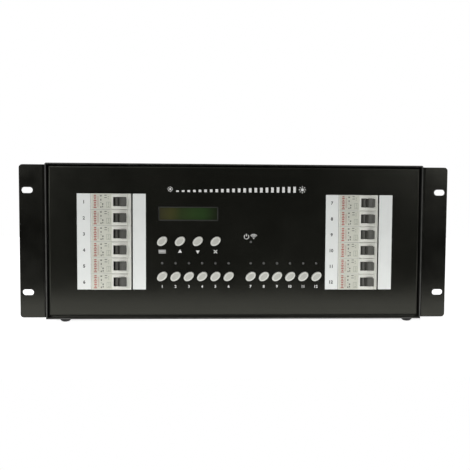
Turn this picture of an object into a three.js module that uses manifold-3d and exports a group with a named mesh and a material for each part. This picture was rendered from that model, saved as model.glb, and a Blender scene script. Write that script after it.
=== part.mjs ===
// A 19-inch rack dimmer pack with twelve channels, four rack units high.
// Millimetres, +Z up, +X to the right of someone who faces the front panel, +Y into the case.
// The sizes below are measured from the front edge of the case, on its underside, in the middle;
// the last lines move the whole pack so that its origin is the middle of its footprint.
import * as THREE from "three";
import { mergeVertices } from "three/addons/utils/BufferGeometryUtils.js";
import Module from "manifold-3d";

const wasm = await Module();
wasm.setup();

// Sheet metal of the case
const sheet = 1.5;
const seatGap = 0.3;
const coverBend = 2;
const trayFlange = 14;
const cutOverrun = 1;

// Circuit breakers, six in each column, lying on their sides
const breakersPerColumn = 6;
const modulePitch = 18;
const breakerNoseWidth = 44.8;
const breakerNoseShift = -0.5;
const breakerNoseProud = 1;
const breakerNoseDepth = 17;
const breakerLength = 80;
const breakerBodyDepth = 55;
const breakerRailDepth = 62;
const collarRise = 1.2;
const collarWall = 1.2;
const collarSlope = 0.5;
const windowSideClearance = 0.8;
const windowEndClearance = 0.35;

// Breaker toggles
const toggleOffset = 10;
const toggleAxisDepth = 4.2;
const toggleDrumRadius = 6.6;
const togglePocketClearance = 0.55;
const togglePocketHeight = 10;
const toggleReach = 11.9;
const toggleLeverWidth = 7.2;
const leverCreaseOffset = 0.3;
const leverCreaseFall = 1.2;
const leverShoulderOffset = 2.4;
const leverShoulderFall = 4.35;
const grooveFootOffset = 2.2;
const grooveFootReach = 3.7;
const grooveLipAngle = 42;
const toggleTilt = 21;
const toggleSideGap = 0.3;
const trunnionRadius = 1.2;
const trunnionLength = 1.3;
const trunnionClearance = 0.4;

// Mounting rails behind the breakers, 35 mm top-hat section
const railWidth = 35;
const railLip = 5;
const railDepth = 7.5;
const railSheet = 1;
const railOverhang = 13.3;
const railFootDepth = 24;

// Keys and lamps; the rows go up from the case's underside
const channelsPerGroup = 6;
const firstChannelX = -83.2;
const keyWeb = 2.3;
const keyGroupGap = 10;
const menuKeyCount = 4;
const menuKeyWeb = 7.3;
const channelRowZ = 48.5;
const lampRise = 14.9;
const menuRise = 24.9;
const powerLampDrop = 0.6;
const capLength = 12.7;
const capWidth = 8.7;
const capTilt = 38.5;
const capProud = 3;
const capEdge = 0.8;
const capRim = 1;
const capRimDepth = 1.2;
const capClearance = 0.35;
const keyTravel = 0.5;
const lampRadius = 1.4;
const lampClearance = 0.4;

// Control board behind the panel
const boardSetback = 9.5;
const boardSheet = 1.6;
const boardLeftMargin = 12.8;
const boardRightMargin = 5.2;
const boardBottomMargin = 11.5;
const boardTopMargin = 10.7;
const switchSide = 6;
const switchHeight = 3.5;
const plungerRadius = 1.7;
const studRadius = 2.4;

// Display
const displayShift = 29.25;
const displayRise = 30.95;
const displayCutWidth = 67.7;
const displayCutHeight = 16.3;
const displayGlassInset = 1.3;
const displayGlassDepth = 0.6;
const bezelSideLap = 1.75;
const bezelEndLap = 3.95;
const bezelDepth = 7;
const displayBoardMargin = 4.4;

// Front panel, a shallow pan inside the case's front edge
const panelRecess = 1;
const panelFold = 5;
const panelBend = 2;
const revealSide = 2;
const revealTop = 1.4;
const revealBottom = 2.6;
const columnGap = 19.75;
const columnSideMargin = 73.35;
const columnBottomMargin = 33.3;
const columnTopMargin = 33.5;
const bulkheadSide = 27.2;
const bulkheadBottom = 20;
const bulkheadTop = 13.4;

// Rack ears
const earSheet = 2;
const earWidth = 28.3;
const earRise = 2;
const earDrop = 1.9;
const earSetback = 0.6;
const earCorner = 4;
const earBend = 2.4;
const earFlangeDepth = 32;
const slotLength = 12.7;
const slotWidth = 6.6;
const slotSideInset = 8.8;
const slotEndInset = 28.55;

// Feet
const footHeight = 6;
const footTopRadius = 6.8;
const footTipRadius = 3.7;
const footSetback = 22;
const footLeftInset = 16.7;
const footRightInset = 8.9;

// Heat sink with the power devices, and the choke board, one behind the other
const sinkSetback = 150;
const sinkWidth = 280;
const sinkDepth = 84;
const sinkBase = 7;
const sinkFinHeight = 34;
const sinkFinSheet = 2.2;
const sinkFinCount = 9;
const sinkFlange = 6;
const sinkRise = 10;
const deviceCount = 12;
const deviceWidth = 10;
const deviceHeight = 15;
const deviceDepth = 4.5;
const chokeColumns = 6;
const chokeRows = 2;
const chokeRingRadius = 11;
const chokeTubeRadius = 5.5;
const chokeSpacing = 5;
const chokeBoardGap = 24;
const chokeBoardRise = 8;
const rearSpace = 34.5;

// Fan on the rear wall
const fanSideGap = 19.7;
const fanZ = 90;
const fanSize = 80;
const fanDepth = 25;
const fanCorner = 5;
const fanWall = 2;
const fanStrutWidth = 4;
const fanStrutDepth = 3;
const motorRadius = 18;
const rotorHubRadius = 17;
const rotorHubRecess = 2.5;
const rotorTipGap = 2;
const rotorRunningGap = 0.5;
const bladeCount = 7;
const bladeInset = 0.8;
const bladeSheet = 1.6;
const bladeCamber = 2.4;
const bladePitch = 38;
const shaftRadius = 2;
const shaftClearance = 0.4;

// Output terminals, mains terminals and control sockets on the rear wall
const outputPoleCount = 12;
const outputPolePitch = 14;
const outputGap = 34;
const outputZ = 52;
const outputHeight = 24;
const outputEntry = 3.4;
const mainsPoleCount = 5;
const mainsPolePitch = 16;
const mainsGap = 27;
const mainsZ = 118;
const mainsHeight = 34;
const mainsEntry = 8;
const terminalMargin = 3;
const terminalProud = 5;
const terminalFlange = 4;
const terminalFlangeDepth = 3;
const terminalDepth = 24;
const terminalClearance = 0.5;
const socketSideGap = 13.2;
const socketZ = 118;
const socketSpacing = 8;
const socketPlateLand = 1.2;
const socketPlateExtra = 5;
const socketPlateSheet = 2;
const socketBarrelRadius = 11.8;
const socketBarrelWall = 2.2;
const socketBoreDepth = 13;
const socketInsertGap = 1.7;
const socketPinRadius = 1.2;
const socketPinCircle = 4.7;
const socketPinLength = 10;
const socketBoardSetback = 24;
const socketBoardMargin = 4;

const degree = Math.PI / 180;
const quarterTurn = Math.PI / 2;
const fullTurn = Math.PI * 2;

// Sizes and places that follow, in the plane of the front panel
const windowWidth = breakerNoseWidth + 2 * windowSideClearance;
const windowHeight = breakersPerColumn * modulePitch - seatGap + 2 * windowEndClearance;
const columnZ = columnBottomMargin + windowHeight / 2;
const channelPitch = capLength + keyWeb;
const menuPitch = capLength + menuKeyWeb;
const lampRowZ = channelRowZ + lampRise;
const menuRowZ = lampRowZ + menuRise;
const displayX = firstChannelX + displayShift;
const displayZ = menuRowZ + displayRise;
const channelX = channelPlaces();
const menuX = menuPlaces();
const boardLeftX = channelX[0] - boardLeftMargin;
const boardRightX = channelX.at(-1) + boardRightMargin;
const boardBottomZ = channelRowZ - boardBottomMargin;
const boardTopZ = menuRowZ + boardTopMargin;
const boardReach = Math.max(boardRightX, -boardLeftX);
const columnX = boardReach + columnGap + breakerNoseWidth / 2 - breakerNoseShift;
const caseHalf = columnX + columnSideMargin;
const caseHeight = columnBottomMargin + windowHeight + columnTopMargin;
const panelHalf = caseHalf - sheet - revealSide;
const panelLow = sheet + revealBottom;
const panelHigh = caseHeight - sheet - revealTop;
const trayHalf = caseHalf - sheet - seatGap;
const trayTop = caseHeight - sheet - seatGap;
const floorTop = sheet;
const earHalf = caseHalf + earWidth;
const earTop = caseHeight - earDrop;

// Sizes and places that follow, from front to back
const panelFace = panelRecess;
const panelBack = panelFace + sheet;
const panelRimBack = panelFace + panelFold;
const boardFront = panelBack + boardSetback;
const breakerFace = panelFace - breakerNoseProud;
const breakerThickness = modulePitch - seatGap;
const togglePocketRadius = toggleDrumRadius + togglePocketClearance;
const railFace = breakerFace + breakerRailDepth + seatGap;
const chokePitch = 2 * (chokeRingRadius + chokeTubeRadius) + chokeSpacing;
const chokeBoardFront = sinkSetback + sinkDepth + chokeBoardGap;
const chokeBoardBack = chokeBoardFront + chokeRows * chokePitch;
const rearWallFront = chokeBoardBack + rearSpace;
const caseDepth = rearWallFront + sheet;

// Sizes and places that follow, on the rear wall
const fanX = fanSideGap + fanSize / 2 + sheet - trayHalf;
const fanBore = fanSize - 2 * fanWall;
const rotorTipRadius = fanBore / 2 - rotorTipGap;
const rotorHubDepth = fanDepth - fanStrutDepth - rotorRunningGap - rotorHubRecess;
const outputLength = outputPoleCount * outputPolePitch + 2 * terminalMargin;
const outputX = fanX + fanSize / 2 + outputGap + terminalFlange + outputLength / 2;
const socketBoreRadius = socketBarrelRadius - socketBarrelWall;
const socketInsertRadius = socketBoreRadius - socketInsertGap;
const socketPlateWidth = 2 * (socketBarrelRadius + socketPlateLand);
const socketPlateHeight = socketPlateWidth + socketPlateExtra;
const socketPitch = socketPlateWidth + socketSpacing;
const inletX = trayHalf - socketSideGap - socketPlateWidth / 2;
const outletX = inletX - socketPitch;
const socketBoardLeft = outletX - socketPlateWidth / 2 - socketBoardMargin;
const mainsLength = mainsPoleCount * mainsPolePitch + 2 * terminalMargin;
const mainsX = socketBoardLeft - mainsGap - terminalFlange - mainsLength / 2;

// Shapes

/** A shape through points given as [x, y] pairs. */
function outline(points) {
  return new THREE.Shape(points.map(([x, y]) => new THREE.Vector2(x, y)));
}

/** A rectangle about a middle, with round corners. */
function roundedRectangle(x, y, width, height, radius) {
  const right = width / 2 - radius;
  const top = height / 2 - radius;
  const shape = new THREE.Shape();
  shape.absarc(x + right, y + top, radius, 0, quarterTurn);
  shape.absarc(x - right, y + top, radius, quarterTurn, 2 * quarterTurn);
  shape.absarc(x - right, y - top, radius, 2 * quarterTurn, 3 * quarterTurn);
  shape.absarc(x + right, y - top, radius, 3 * quarterTurn, fullTurn);
  return shape;
}

/** A slot with round ends, long along x. */
function slot(x, y, length, width) {
  const radius = width / 2;
  const reach = length / 2 - radius;
  const shape = new THREE.Shape();
  shape.absarc(x + reach, y, radius, -quarterTurn, quarterTurn);
  shape.absarc(x - reach, y, radius, quarterTurn, 3 * quarterTurn);
  return shape;
}

/** A tilted oval about a middle. */
function oval(x, y, length, width, tilt) {
  const shape = new THREE.Shape();
  shape.absellipse(x, y, length / 2, width / 2, 0, fullTurn, false, tilt);
  return shape;
}

/** A circle about a middle. */
function circle(x, y, radius) {
  return oval(x, y, 2 * radius, 2 * radius, 0);
}

/** The same points mirrored in x and walked back, to close a symmetric outline. */
function mirrored(points) {
  return points.map(([x, y]) => [-x, y]).reverse();
}

// Solids

/** A box between two corners. */
function block(x0, x1, y0, y1, z0, z1) {
  const geometry = new THREE.BoxGeometry(x1 - x0, y1 - y0, z1 - z0);
  return geometry.translate((x0 + x1) / 2, (y0 + y1) / 2, (z0 + z1) / 2);
}

/** A shape in x and y, extruded from one height to another. */
function standing(shape, low, high, arcSteps = 4) {
  const options = { depth: high - low, bevelEnabled: false, curveSegments: arcSteps };
  return new THREE.ExtrudeGeometry(shape, options).translate(0, 0, low);
}

/** A shape in x and z, extruded from front to back. */
function facing(shape, front, back, arcSteps = 4) {
  const geometry = standing(shape, 0, back - front, arcSteps);
  return geometry.rotateX(quarterTurn).translate(0, back, 0);
}

/** A shape in y and z, extruded from left to right. */
function sideways(shape, left, right, arcSteps = 4) {
  const turned = new THREE.Matrix4().set(0, 0, 1, left, 1, 0, 0, 0, 0, 1, 0, 0, 0, 0, 0, 1);
  return standing(shape, 0, right - left, arcSteps).applyMatrix4(turned);
}

/** A closed three.js geometry as a manifold-3d solid. */
function solid(geometry) {
  const bare = geometry.clone();
  bare.deleteAttribute("normal");
  bare.deleteAttribute("uv");
  const merged = mergeVertices(bare);
  const mesh = new wasm.Mesh({
    numProp: 3,
    vertProperties: merged.attributes.position.array,
    triVerts: new Uint32Array(merged.index.array),
  });
  return new wasm.Manifold(mesh);
}

/** A list of overlapping geometries as one solid. */
function joined(geometries) {
  return geometries.map(solid).reduce((whole, next) => whole.add(next));
}

/** A manifold-3d solid as a flat-shaded three.js geometry. */
function geometryOf(made) {
  const mesh = made.getMesh();
  const geometry = new THREE.BufferGeometry();
  geometry.setAttribute("position", new THREE.BufferAttribute(mesh.vertProperties, 3));
  geometry.setIndex(new THREE.BufferAttribute(mesh.triVerts, 1));
  const faceted = geometry.toNonIndexed();
  faceted.computeVertexNormals();
  return faceted;
}

/** One geometry from pieces joined together, less the cutters. */
function carved(pieces, cutters = []) {
  const whole = joined(pieces);
  return geometryOf(cutters.length ? whole.subtract(joined(cutters)) : whole);
}

/** Points of a tilted oval, counterclockwise as seen from the front. */
function ovalPoints(length, width, tilt, sides) {
  return Array.from({ length: sides }, (_, side) => {
    const along = (length / 2) * Math.cos((fullTurn * side) / sides);
    const across = (width / 2) * Math.sin((fullTurn * side) / sides);
    return [
      along * Math.cos(tilt) - across * Math.sin(tilt),
      along * Math.sin(tilt) + across * Math.cos(tilt),
    ];
  });
}

/** A closed solid through rings of [x, z] points, given from back to front. */
function lofted(rings) {
  const sides = rings[0].points.length;
  const last = (rings.length - 1) * sides;
  const positions = rings.flatMap(({ y, points }) => points.flatMap(([x, z]) => [x, y, z]));
  const index = [];
  for (let start = 0; start < last; start += sides) {
    for (let side = 0; side < sides; side++) {
      const here = start + side;
      const next = start + ((side + 1) % sides);
      index.push(here, next, next + sides, here, next + sides, here + sides);
    }
  }
  for (let side = 1; side < sides - 1; side++) {
    index.push(0, side + 1, side, last, last + side, last + side + 1);
  }
  const geometry = new THREE.BufferGeometry();
  geometry.setAttribute("position", new THREE.Float32BufferAttribute(positions, 3));
  geometry.setIndex(index);
  geometry.computeVertexNormals();
  return geometry;
}

/** A named mesh at a place. */
function piece(name, geometry, material, x = 0, y = 0, z = 0) {
  const mesh = new THREE.Mesh(geometry, material);
  mesh.name = name;
  mesh.position.set(x, y, z);
  return mesh;
}

// Finishes

/** A plain finish: colour, roughness and metalness. */
function finish(color, roughness, metalness) {
  return new THREE.MeshStandardMaterial({ color, roughness, metalness });
}

const blackPaint = finish(0x161614, 0.42, 0.3);
const zincSteel = finish(0xa9abac, 0.4, 0.9);
const breakerPlastic = finish(0xd6d7cb, 0.5, 0);
const togglePlastic = finish(0x4b4b45, 0.45, 0);
const keyPlastic = finish(0xcdcdc5, 0.4, 0);
const boardGreen = finish(0x1d4a2c, 0.6, 0);
const displayFrame = finish(0x55564f, 0.4, 0.6);
const blackPlastic = finish(0x1a1a1b, 0.6, 0);
const blackRubber = finish(0x131313, 0.8, 0);
const rawAluminium = finish(0xb9bbbd, 0.35, 0.9);
const chokeWinding = finish(0x9a4f22, 0.4, 0.5);

// Lists of places

/** Middles of the channel keys along x, in two groups. */
function channelPlaces() {
  const groupSpan = channelsPerGroup * channelPitch + keyGroupGap;
  return [0, 1].flatMap((group) => Array.from(
    { length: channelsPerGroup },
    (_, key) => firstChannelX + group * groupSpan + key * channelPitch,
  ));
}

/** Middles of the menu keys along x; the first stands over the first channel. */
function menuPlaces() {
  return Array.from({ length: menuKeyCount }, (_, key) => firstChannelX + key * menuPitch);
}

const powerLampX = channelX[channelsPerGroup];
const keyPlaces = [...channelX.map((x) => [x, channelRowZ]), ...menuX.map((x) => [x, menuRowZ])];
const lampPlaces = [
  ...channelX.map((x) => [x, lampRowZ]),
  [powerLampX, menuRowZ - powerLampDrop],
];
const studPlaceShares = [
  [0.03, 0.6],
  [0.52, 0.08],
  [0.75, 0.93],
  [0.97, 0.6],
];
const columnCentres = [
  ["left", -columnX],
  ["right", columnX],
];

// Case parts

/** Ring-shaped slots of the finger guard, as shapes in x and z. */
function guardSlots() {
  const ringCount = 4;
  const slotsPerRing = 4;
  const slotGapShare = 0.16;
  const innerRadius = 9;
  const ringStep = (fanBore / 2 - innerRadius) / ringCount;
  const barWidth = 2.6;
  const shapes = [];
  for (let ring = 0; ring < ringCount; ring++) {
    const inner = innerRadius + ring * ringStep;
    const outer = inner + ringStep - barWidth;
    for (let part = 0; part < slotsPerRing; part++) {
      const start = ((part + slotGapShare / 2) * fullTurn) / slotsPerRing;
      const end = ((part + 1 - slotGapShare / 2) * fullTurn) / slotsPerRing;
      const shape = new THREE.Shape();
      shape.absarc(fanX, fanZ, outer, start, end);
      shape.absarc(fanX, fanZ, inner, end, start, true);
      shapes.push(shape);
    }
  }
  return shapes;
}

/** The tray: floor, side flanges, front bulkhead with its window, and rear wall with its cut-outs. */
function trayGeometry() {
  const bulkheadFront = panelRimBack + seatGap;
  const bulkheadBack = bulkheadFront + sheet;
  const leftFlange = block(-trayHalf, -trayHalf + sheet, bulkheadFront, caseDepth, 0, trayFlange);
  const rightFlange = block(trayHalf - sheet, trayHalf, bulkheadFront, caseDepth, 0, trayFlange);
  const pieces = [
    block(-trayHalf, trayHalf, 0, caseDepth, 0, floorTop),
    block(-trayHalf, trayHalf, bulkheadFront, bulkheadBack, 0, trayTop),
    block(-trayHalf, trayHalf, rearWallFront, caseDepth, 0, trayTop),
    leftFlange,
    rightFlange,
  ];
  const before = bulkheadFront - cutOverrun;
  const behind = bulkheadBack + cutOverrun;
  const rearFront = rearWallFront - cutOverrun;
  const rearBack = caseDepth + cutOverrun;
  const barrelHole = socketBarrelRadius + terminalClearance;
  const cutters = [
    block(
      bulkheadSide - trayHalf, trayHalf - bulkheadSide, before, behind,
      bulkheadBottom, trayTop - bulkheadTop,
    ),
    ...guardSlots().map((shape) => facing(shape, rearFront, rearBack, 2)),
    ...[outletX, inletX].map((x) => facing(circle(x, socketZ, barrelHole), rearFront, rearBack, 8)),
    terminalCutout(outputX, outputZ, outputLength, outputHeight),
    terminalCutout(mainsX, mainsZ, mainsLength, mainsHeight),
  ];
  return carved(pieces, cutters);
}

/** The cover: top and two sides in one sheet, with vent slots in both sides. */
function coverGeometry() {
  const innerBend = coverBend - sheet;
  const inner = caseHalf - sheet;
  const turnX = caseHalf - coverBend;
  const turnZ = caseHeight - coverBend;
  const shape = new THREE.Shape();
  shape.moveTo(inner, 0);
  shape.lineTo(caseHalf, 0);
  shape.absarc(turnX, turnZ, coverBend, 0, quarterTurn);
  shape.absarc(-turnX, turnZ, coverBend, quarterTurn, 2 * quarterTurn);
  shape.lineTo(-caseHalf, 0);
  shape.lineTo(-inner, 0);
  shape.absarc(-turnX, turnZ, innerBend, 2 * quarterTurn, quarterTurn, true);
  shape.absarc(turnX, turnZ, innerBend, quarterTurn, 0, true);
  const ventCount = 9;
  const ventLength = 46;
  const ventWidth = 3.2;
  const ventPitch = 11;
  const ventFront = 210;
  const ventMiddle = 96;
  const vents = Array.from({ length: ventCount }, (_, row) => {
    const vent = slot(ventMiddle, -(ventFront + row * ventPitch), ventLength, ventWidth);
    const across = sideways(vent, -caseHalf - cutOverrun, caseHalf + cutOverrun, 2);
    return across.rotateX(quarterTurn);
  });
  return carved([facing(shape, 0, caseDepth, 2)], vents);
}

/** The front panel: a pan with a folded rim, windows, key and lamp holes, and studs for the board. */
function panelGeometry() {
  const bendSteps = 3;
  const ring = (y, inset) => ({
    y,
    points: [
      [panelHalf - inset, panelLow + inset],
      [panelHalf - inset, panelHigh - inset],
      [-panelHalf + inset, panelHigh - inset],
      [-panelHalf + inset, panelLow + inset],
    ],
  });
  const bend = Array.from({ length: bendSteps + 1 }, (_, step) => {
    const angle = (quarterTurn * step) / bendSteps;
    return ring(panelFace + panelBend * (1 - Math.sin(angle)), panelBend * (1 - Math.cos(angle)));
  });
  const outer = lofted([ring(panelRimBack, 0), ...bend]);
  const hollow = block(
    -panelHalf + sheet, panelHalf - sheet,
    panelBack, panelRimBack + panelFold,
    panelLow + sheet, panelHigh - sheet,
  );
  const front = panelFace - cutOverrun;
  const back = panelBack + cutOverrun;
  const windows = columnCentres.map(([, x]) => block(
    x - windowWidth / 2, x + windowWidth / 2, front, back,
    columnZ - windowHeight / 2, columnZ + windowHeight / 2,
  ));
  const keyHoles = keyPlaces.map(([x, z]) => {
    const holeLength = capLength + 2 * capClearance;
    const holeWidth = capWidth + 2 * capClearance;
    return facing(oval(x, z, holeLength, holeWidth, capTilt * degree), front, back, 6);
  });
  const lampHoles = lampPlaces.map(([x, z]) =>
    facing(circle(x, z, lampRadius + lampClearance), front, back, 4));
  const displayHole = block(
    displayX - displayCutWidth / 2, displayX + displayCutWidth / 2, front, back,
    displayZ - displayCutHeight / 2, displayZ + displayCutHeight / 2,
  );
  const pan = solid(outer).subtract(solid(hollow));
  const drilled = pan.subtract(joined([...windows, ...keyHoles, ...lampHoles, displayHole]));
  const studs = studPlaceShares.map(([xShare, zShare]) => {
    const x = boardLeftX + xShare * (boardRightX - boardLeftX);
    const z = boardBottomZ + zShare * (boardTopZ - boardBottomZ);
    return facing(circle(x, z, studRadius), panelBack - sheet / 2, boardFront - seatGap, 3);
  });
  return geometryOf(drilled.add(joined(studs)));
}

/** A rack ear: an angle whose front flange has round corners and two slots. */
function earGeometry(side) {
  const inner = caseHalf + seatGap;
  const outerFace = inner + earSheet;
  const back = earSetback + earSheet;
  const bendX = inner + earBend;
  const bendY = earSetback + earBend;
  const flangeBack = earSetback + earFlangeDepth;
  const section = new THREE.Shape();
  section.moveTo(outerFace, flangeBack);
  section.lineTo(inner, flangeBack);
  section.absarc(bendX, bendY, earBend, 2 * quarterTurn, 3 * quarterTurn);
  section.lineTo(earHalf, earSetback);
  section.lineTo(earHalf, back);
  section.absarc(bendX, bendY, earBend - earSheet, 3 * quarterTurn, 2 * quarterTurn, true);
  const face = new THREE.Shape();
  face.moveTo(0, earTop);
  face.lineTo(0, earRise);
  face.absarc(earHalf - earCorner, earRise + earCorner, earCorner, -quarterTurn, 0);
  face.absarc(earHalf - earCorner, earTop - earCorner, earCorner, 0, quarterTurn);
  const slots = [earRise + slotEndInset, earTop - slotEndInset].map((z) => facing(
    slot(earHalf - slotSideInset, z, slotLength, slotWidth),
    earSetback - cutOverrun, back + cutOverrun, 4,
  ));
  const right = solid(standing(section, earRise, earTop, 2))
    .intersect(solid(facing(face, earSetback - cutOverrun, flangeBack + cutOverrun, 3)))
    .subtract(joined(slots));
  return geometryOf(side === "right" ? right : right.mirror([1, 0, 0]));
}

/** A rubber foot, narrower towards the floor. */
function footGeometry() {
  const profileShares = [
    [0.76, 0.76],
    [0.97, 0.5],
    [1, 0],
  ];
  const points = [
    new THREE.Vector2(0, -footHeight),
    new THREE.Vector2(footTipRadius, -footHeight),
    ...profileShares.map(
      ([radius, depth]) => new THREE.Vector2(radius * footTopRadius, -depth * footHeight),
    ),
    new THREE.Vector2(0, 0),
  ];
  return new THREE.LatheGeometry(points, 12).rotateX(quarterTurn);
}

// Breakers

/** The moulded case of a breaker: nose, collar, shoulders, rail notch and toggle pocket. */
function breakerGeometry() {
  const half = breakerLength / 2;
  const noseHalf = breakerNoseWidth / 2;
  const edge = 0.5;
  const shoulderFall = 0.9;
  const shoulderEdge = 1.6;
  const heelInset = 4;
  const heelRise = 3;
  const clawDepth = 4;
  const notchHalf = railWidth / 2 + seatGap;
  const hookReach = 1.6;
  const screwHoleSide = 6;
  const screwHoleDepth = 12;
  const hookFront = breakerRailDepth + railSheet + 2 * seatGap;
  const back = breakerRailDepth + clawDepth;
  const collarHalf = togglePocketRadius + collarWall;
  const collar = [
    [toggleOffset - collarHalf - collarSlope, 0],
    [toggleOffset - collarHalf, -collarRise],
    [toggleOffset + collarHalf, -collarRise],
    [toggleOffset + collarHalf + collarSlope, 0],
  ];
  const right = [
    [noseHalf - edge, 0],
    [noseHalf, edge],
    [noseHalf, breakerNoseDepth],
    [half - shoulderEdge, breakerNoseDepth + shoulderFall],
    [half, breakerNoseDepth + shoulderFall + shoulderEdge],
    [half, breakerBodyDepth],
    [half - heelInset, breakerBodyDepth + heelRise],
    [half - heelInset, back],
    [notchHalf - hookReach, back],
    [notchHalf - hookReach, hookFront],
    [notchHalf, hookFront],
    [notchHalf, breakerRailDepth],
  ];
  const profile = outline([...collar, ...right, ...mirrored(right)]);
  const body = standing(profile, -breakerThickness / 2, breakerThickness / 2);
  const pocket = new THREE.Shape();
  pocket.absarc(toggleOffset, toggleAxisDepth, togglePocketRadius, 0, 2 * quarterTurn);
  const pocketFront = -collarRise - cutOverrun;
  pocket.lineTo(toggleOffset - togglePocketRadius, pocketFront);
  pocket.lineTo(toggleOffset + togglePocketRadius, pocketFront);
  const bearing = circle(toggleOffset, toggleAxisDepth, trunnionRadius + trunnionClearance);
  const bearingReach = togglePocketHeight / 2 + trunnionLength + trunnionClearance;
  const screwHoles = [-1, 1].map((end) => {
    const middle = end * (half - shoulderEdge - screwHoleSide);
    return block(
      middle - screwHoleSide / 2, middle + screwHoleSide / 2,
      breakerNoseDepth - cutOverrun, breakerNoseDepth + screwHoleDepth,
      -screwHoleSide / 2, screwHoleSide / 2,
    );
  });
  return carved([body], [
    standing(pocket, -togglePocketHeight / 2, togglePocketHeight / 2, 4),
    standing(bearing, -bearingReach, bearingReach, 3),
    ...screwHoles,
  ]);
}

/** A toggle about its own axis: drum, lever with a sloping face, groove beside it, and two trunnions. */
function toggleGeometry() {
  const half = togglePocketHeight / 2 - toggleSideGap;
  const leverHalf = toggleLeverWidth / 2;
  const leverEdge = 0.7;
  const rightFoot = -Math.acos(leverHalf / toggleDrumRadius);
  const leftLip = 3 * quarterTurn - grooveLipAngle * degree;
  const section = new THREE.Shape();
  section.moveTo(leverHalf, -toggleReach + leverEdge);
  section.absarc(0, 0, toggleDrumRadius, rightFoot, leftLip);
  section.lineTo(-grooveFootOffset, -grooveFootReach);
  section.lineTo(-leverShoulderOffset, leverShoulderFall - toggleReach);
  section.lineTo(leverCreaseOffset, leverCreaseFall - toggleReach);
  section.lineTo(leverHalf - leverEdge, -toggleReach);
  const reach = half + toggleSideGap + trunnionLength;
  const made = carved([
    standing(section, -half, half, 5),
    standing(circle(0, 0, trunnionRadius), -reach, reach, 3),
  ]);
  return made.rotateZ(toggleTilt * degree);
}

/** A top-hat rail that stands on the floor on a riveted foot. */
function railGeometry() {
  const half = railWidth / 2;
  const hatHalf = half - railLip;
  const top = columnZ + windowHeight / 2 + railOverhang;
  const right = [
    [half, 0],
    [half, railSheet],
    [hatHalf, railSheet],
    [hatHalf, railDepth],
  ];
  const inside = [
    [hatHalf - railSheet, railDepth - railSheet],
    [hatHalf - railSheet, 0],
  ];
  const bottom = floorTop + seatGap;
  const footBack = railDepth + railFootDepth;
  const profile = outline([...right, ...mirrored(right), ...mirrored(inside), ...inside]);
  const foot = block(-half, half, railDepth - railSheet, footBack, bottom, bottom + sheet);
  return carved([standing(profile, bottom, top), foot]);
}

/** One column of six breakers with their toggles on a rail. */
function breakerColumn(sideName, x, firstNumber, breaker, toggle, rail) {
  const column = new THREE.Group();
  column.position.set(x + breakerNoseShift, breakerFace, columnZ);
  column.add(piece(`din_rail_${sideName}`, rail, zincSteel, 0, railFace - breakerFace, -columnZ));
  const top = ((breakersPerColumn - 1) / 2) * modulePitch;
  for (let row = 0; row < breakersPerColumn; row++) {
    const number = firstNumber + row;
    const z = top - row * modulePitch;
    column.add(piece(`breaker_${number}`, breaker, breakerPlastic, 0, 0, z));
    column.add(piece(`toggle_${number}`, toggle, togglePlastic, toggleOffset, toggleAxisDepth, z));
  }
  return column;
}

// Controls

/** A key cap about its own middle, with the rim that holds it behind the panel. */
function capGeometry() {
  const rimFront = sheet + seatGap;
  const face = -capProud;
  const rings = [
    [rimFront + capRimDepth, capRim],
    [rimFront, capRim],
    [rimFront, 0],
    [face + capEdge, 0],
    [face, -capEdge],
  ];
  return lofted(rings.map(([y, grow]) => ({
    y,
    points: ovalPoints(capLength + 2 * grow, capWidth + 2 * grow, capTilt * degree, 12),
  })));
}

/** The control board with its lamps and press switches soldered on. */
function controlBoardGeometry() {
  const lap = boardSheet / 2;
  const lampTip = panelFace + lampClearance;
  const lampDome = 0.6;
  const lampTipShare = 0.5;
  const plungerTip = panelBack + seatGap + capRimDepth + keyTravel + seatGap / 2;
  const switchFront = boardFront - switchHeight;
  const switchHalf = switchSide / 2;
  const boardBack = boardFront + boardSheet;
  const board = block(boardLeftX, boardRightX, boardFront, boardBack, boardBottomZ, boardTopZ);
  const lampRings = [
    [boardFront + lap, 1],
    [lampTip + lampDome, 1],
    [lampTip, lampTipShare],
  ].map(([y, share]) => ({
    y,
    points: ovalPoints(2 * share * lampRadius, 2 * share * lampRadius, 0, 6),
  }));
  const lamps = lampPlaces.map(([x, z]) => lofted(lampRings).translate(x, 0, z));
  const switches = keyPlaces.flatMap(([x, z]) => [
    block(
      x - switchHalf, x + switchHalf, switchFront, boardFront + lap, z - switchHalf, z + switchHalf,
    ),
    facing(circle(x, z, plungerRadius), plungerTip, switchFront + lap, 3),
  ]);
  return carved([board, ...lamps, ...switches]);
}

/** The display module: its board, and the metal frame with the glass set back in it. */
function displayGeometry() {
  const front = panelBack + seatGap;
  const back = front + bezelDepth;
  const bezelWidth = displayCutWidth + 2 * bezelSideLap;
  const bezelHeight = displayCutHeight + 2 * bezelEndLap;
  const boardWidth = bezelWidth + 2 * displayBoardMargin;
  const boardHeight = bezelHeight + 2 * displayBoardMargin;
  const glassWidth = displayCutWidth - 2 * displayGlassInset;
  const glassHeight = displayCutHeight - 2 * displayGlassInset;
  const centred = (width, height, y0, y1) => block(
    displayX - width / 2, displayX + width / 2, y0, y1, displayZ - height / 2, displayZ + height / 2,
  );
  return carved(
    [
      centred(bezelWidth, bezelHeight, front, back + boardSheet / 2),
      centred(boardWidth, boardHeight, back, back + boardSheet),
    ],
    [centred(glassWidth, glassHeight, front - cutOverrun, front + displayGlassDepth)],
  );
}

// Rear wall parts

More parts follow.
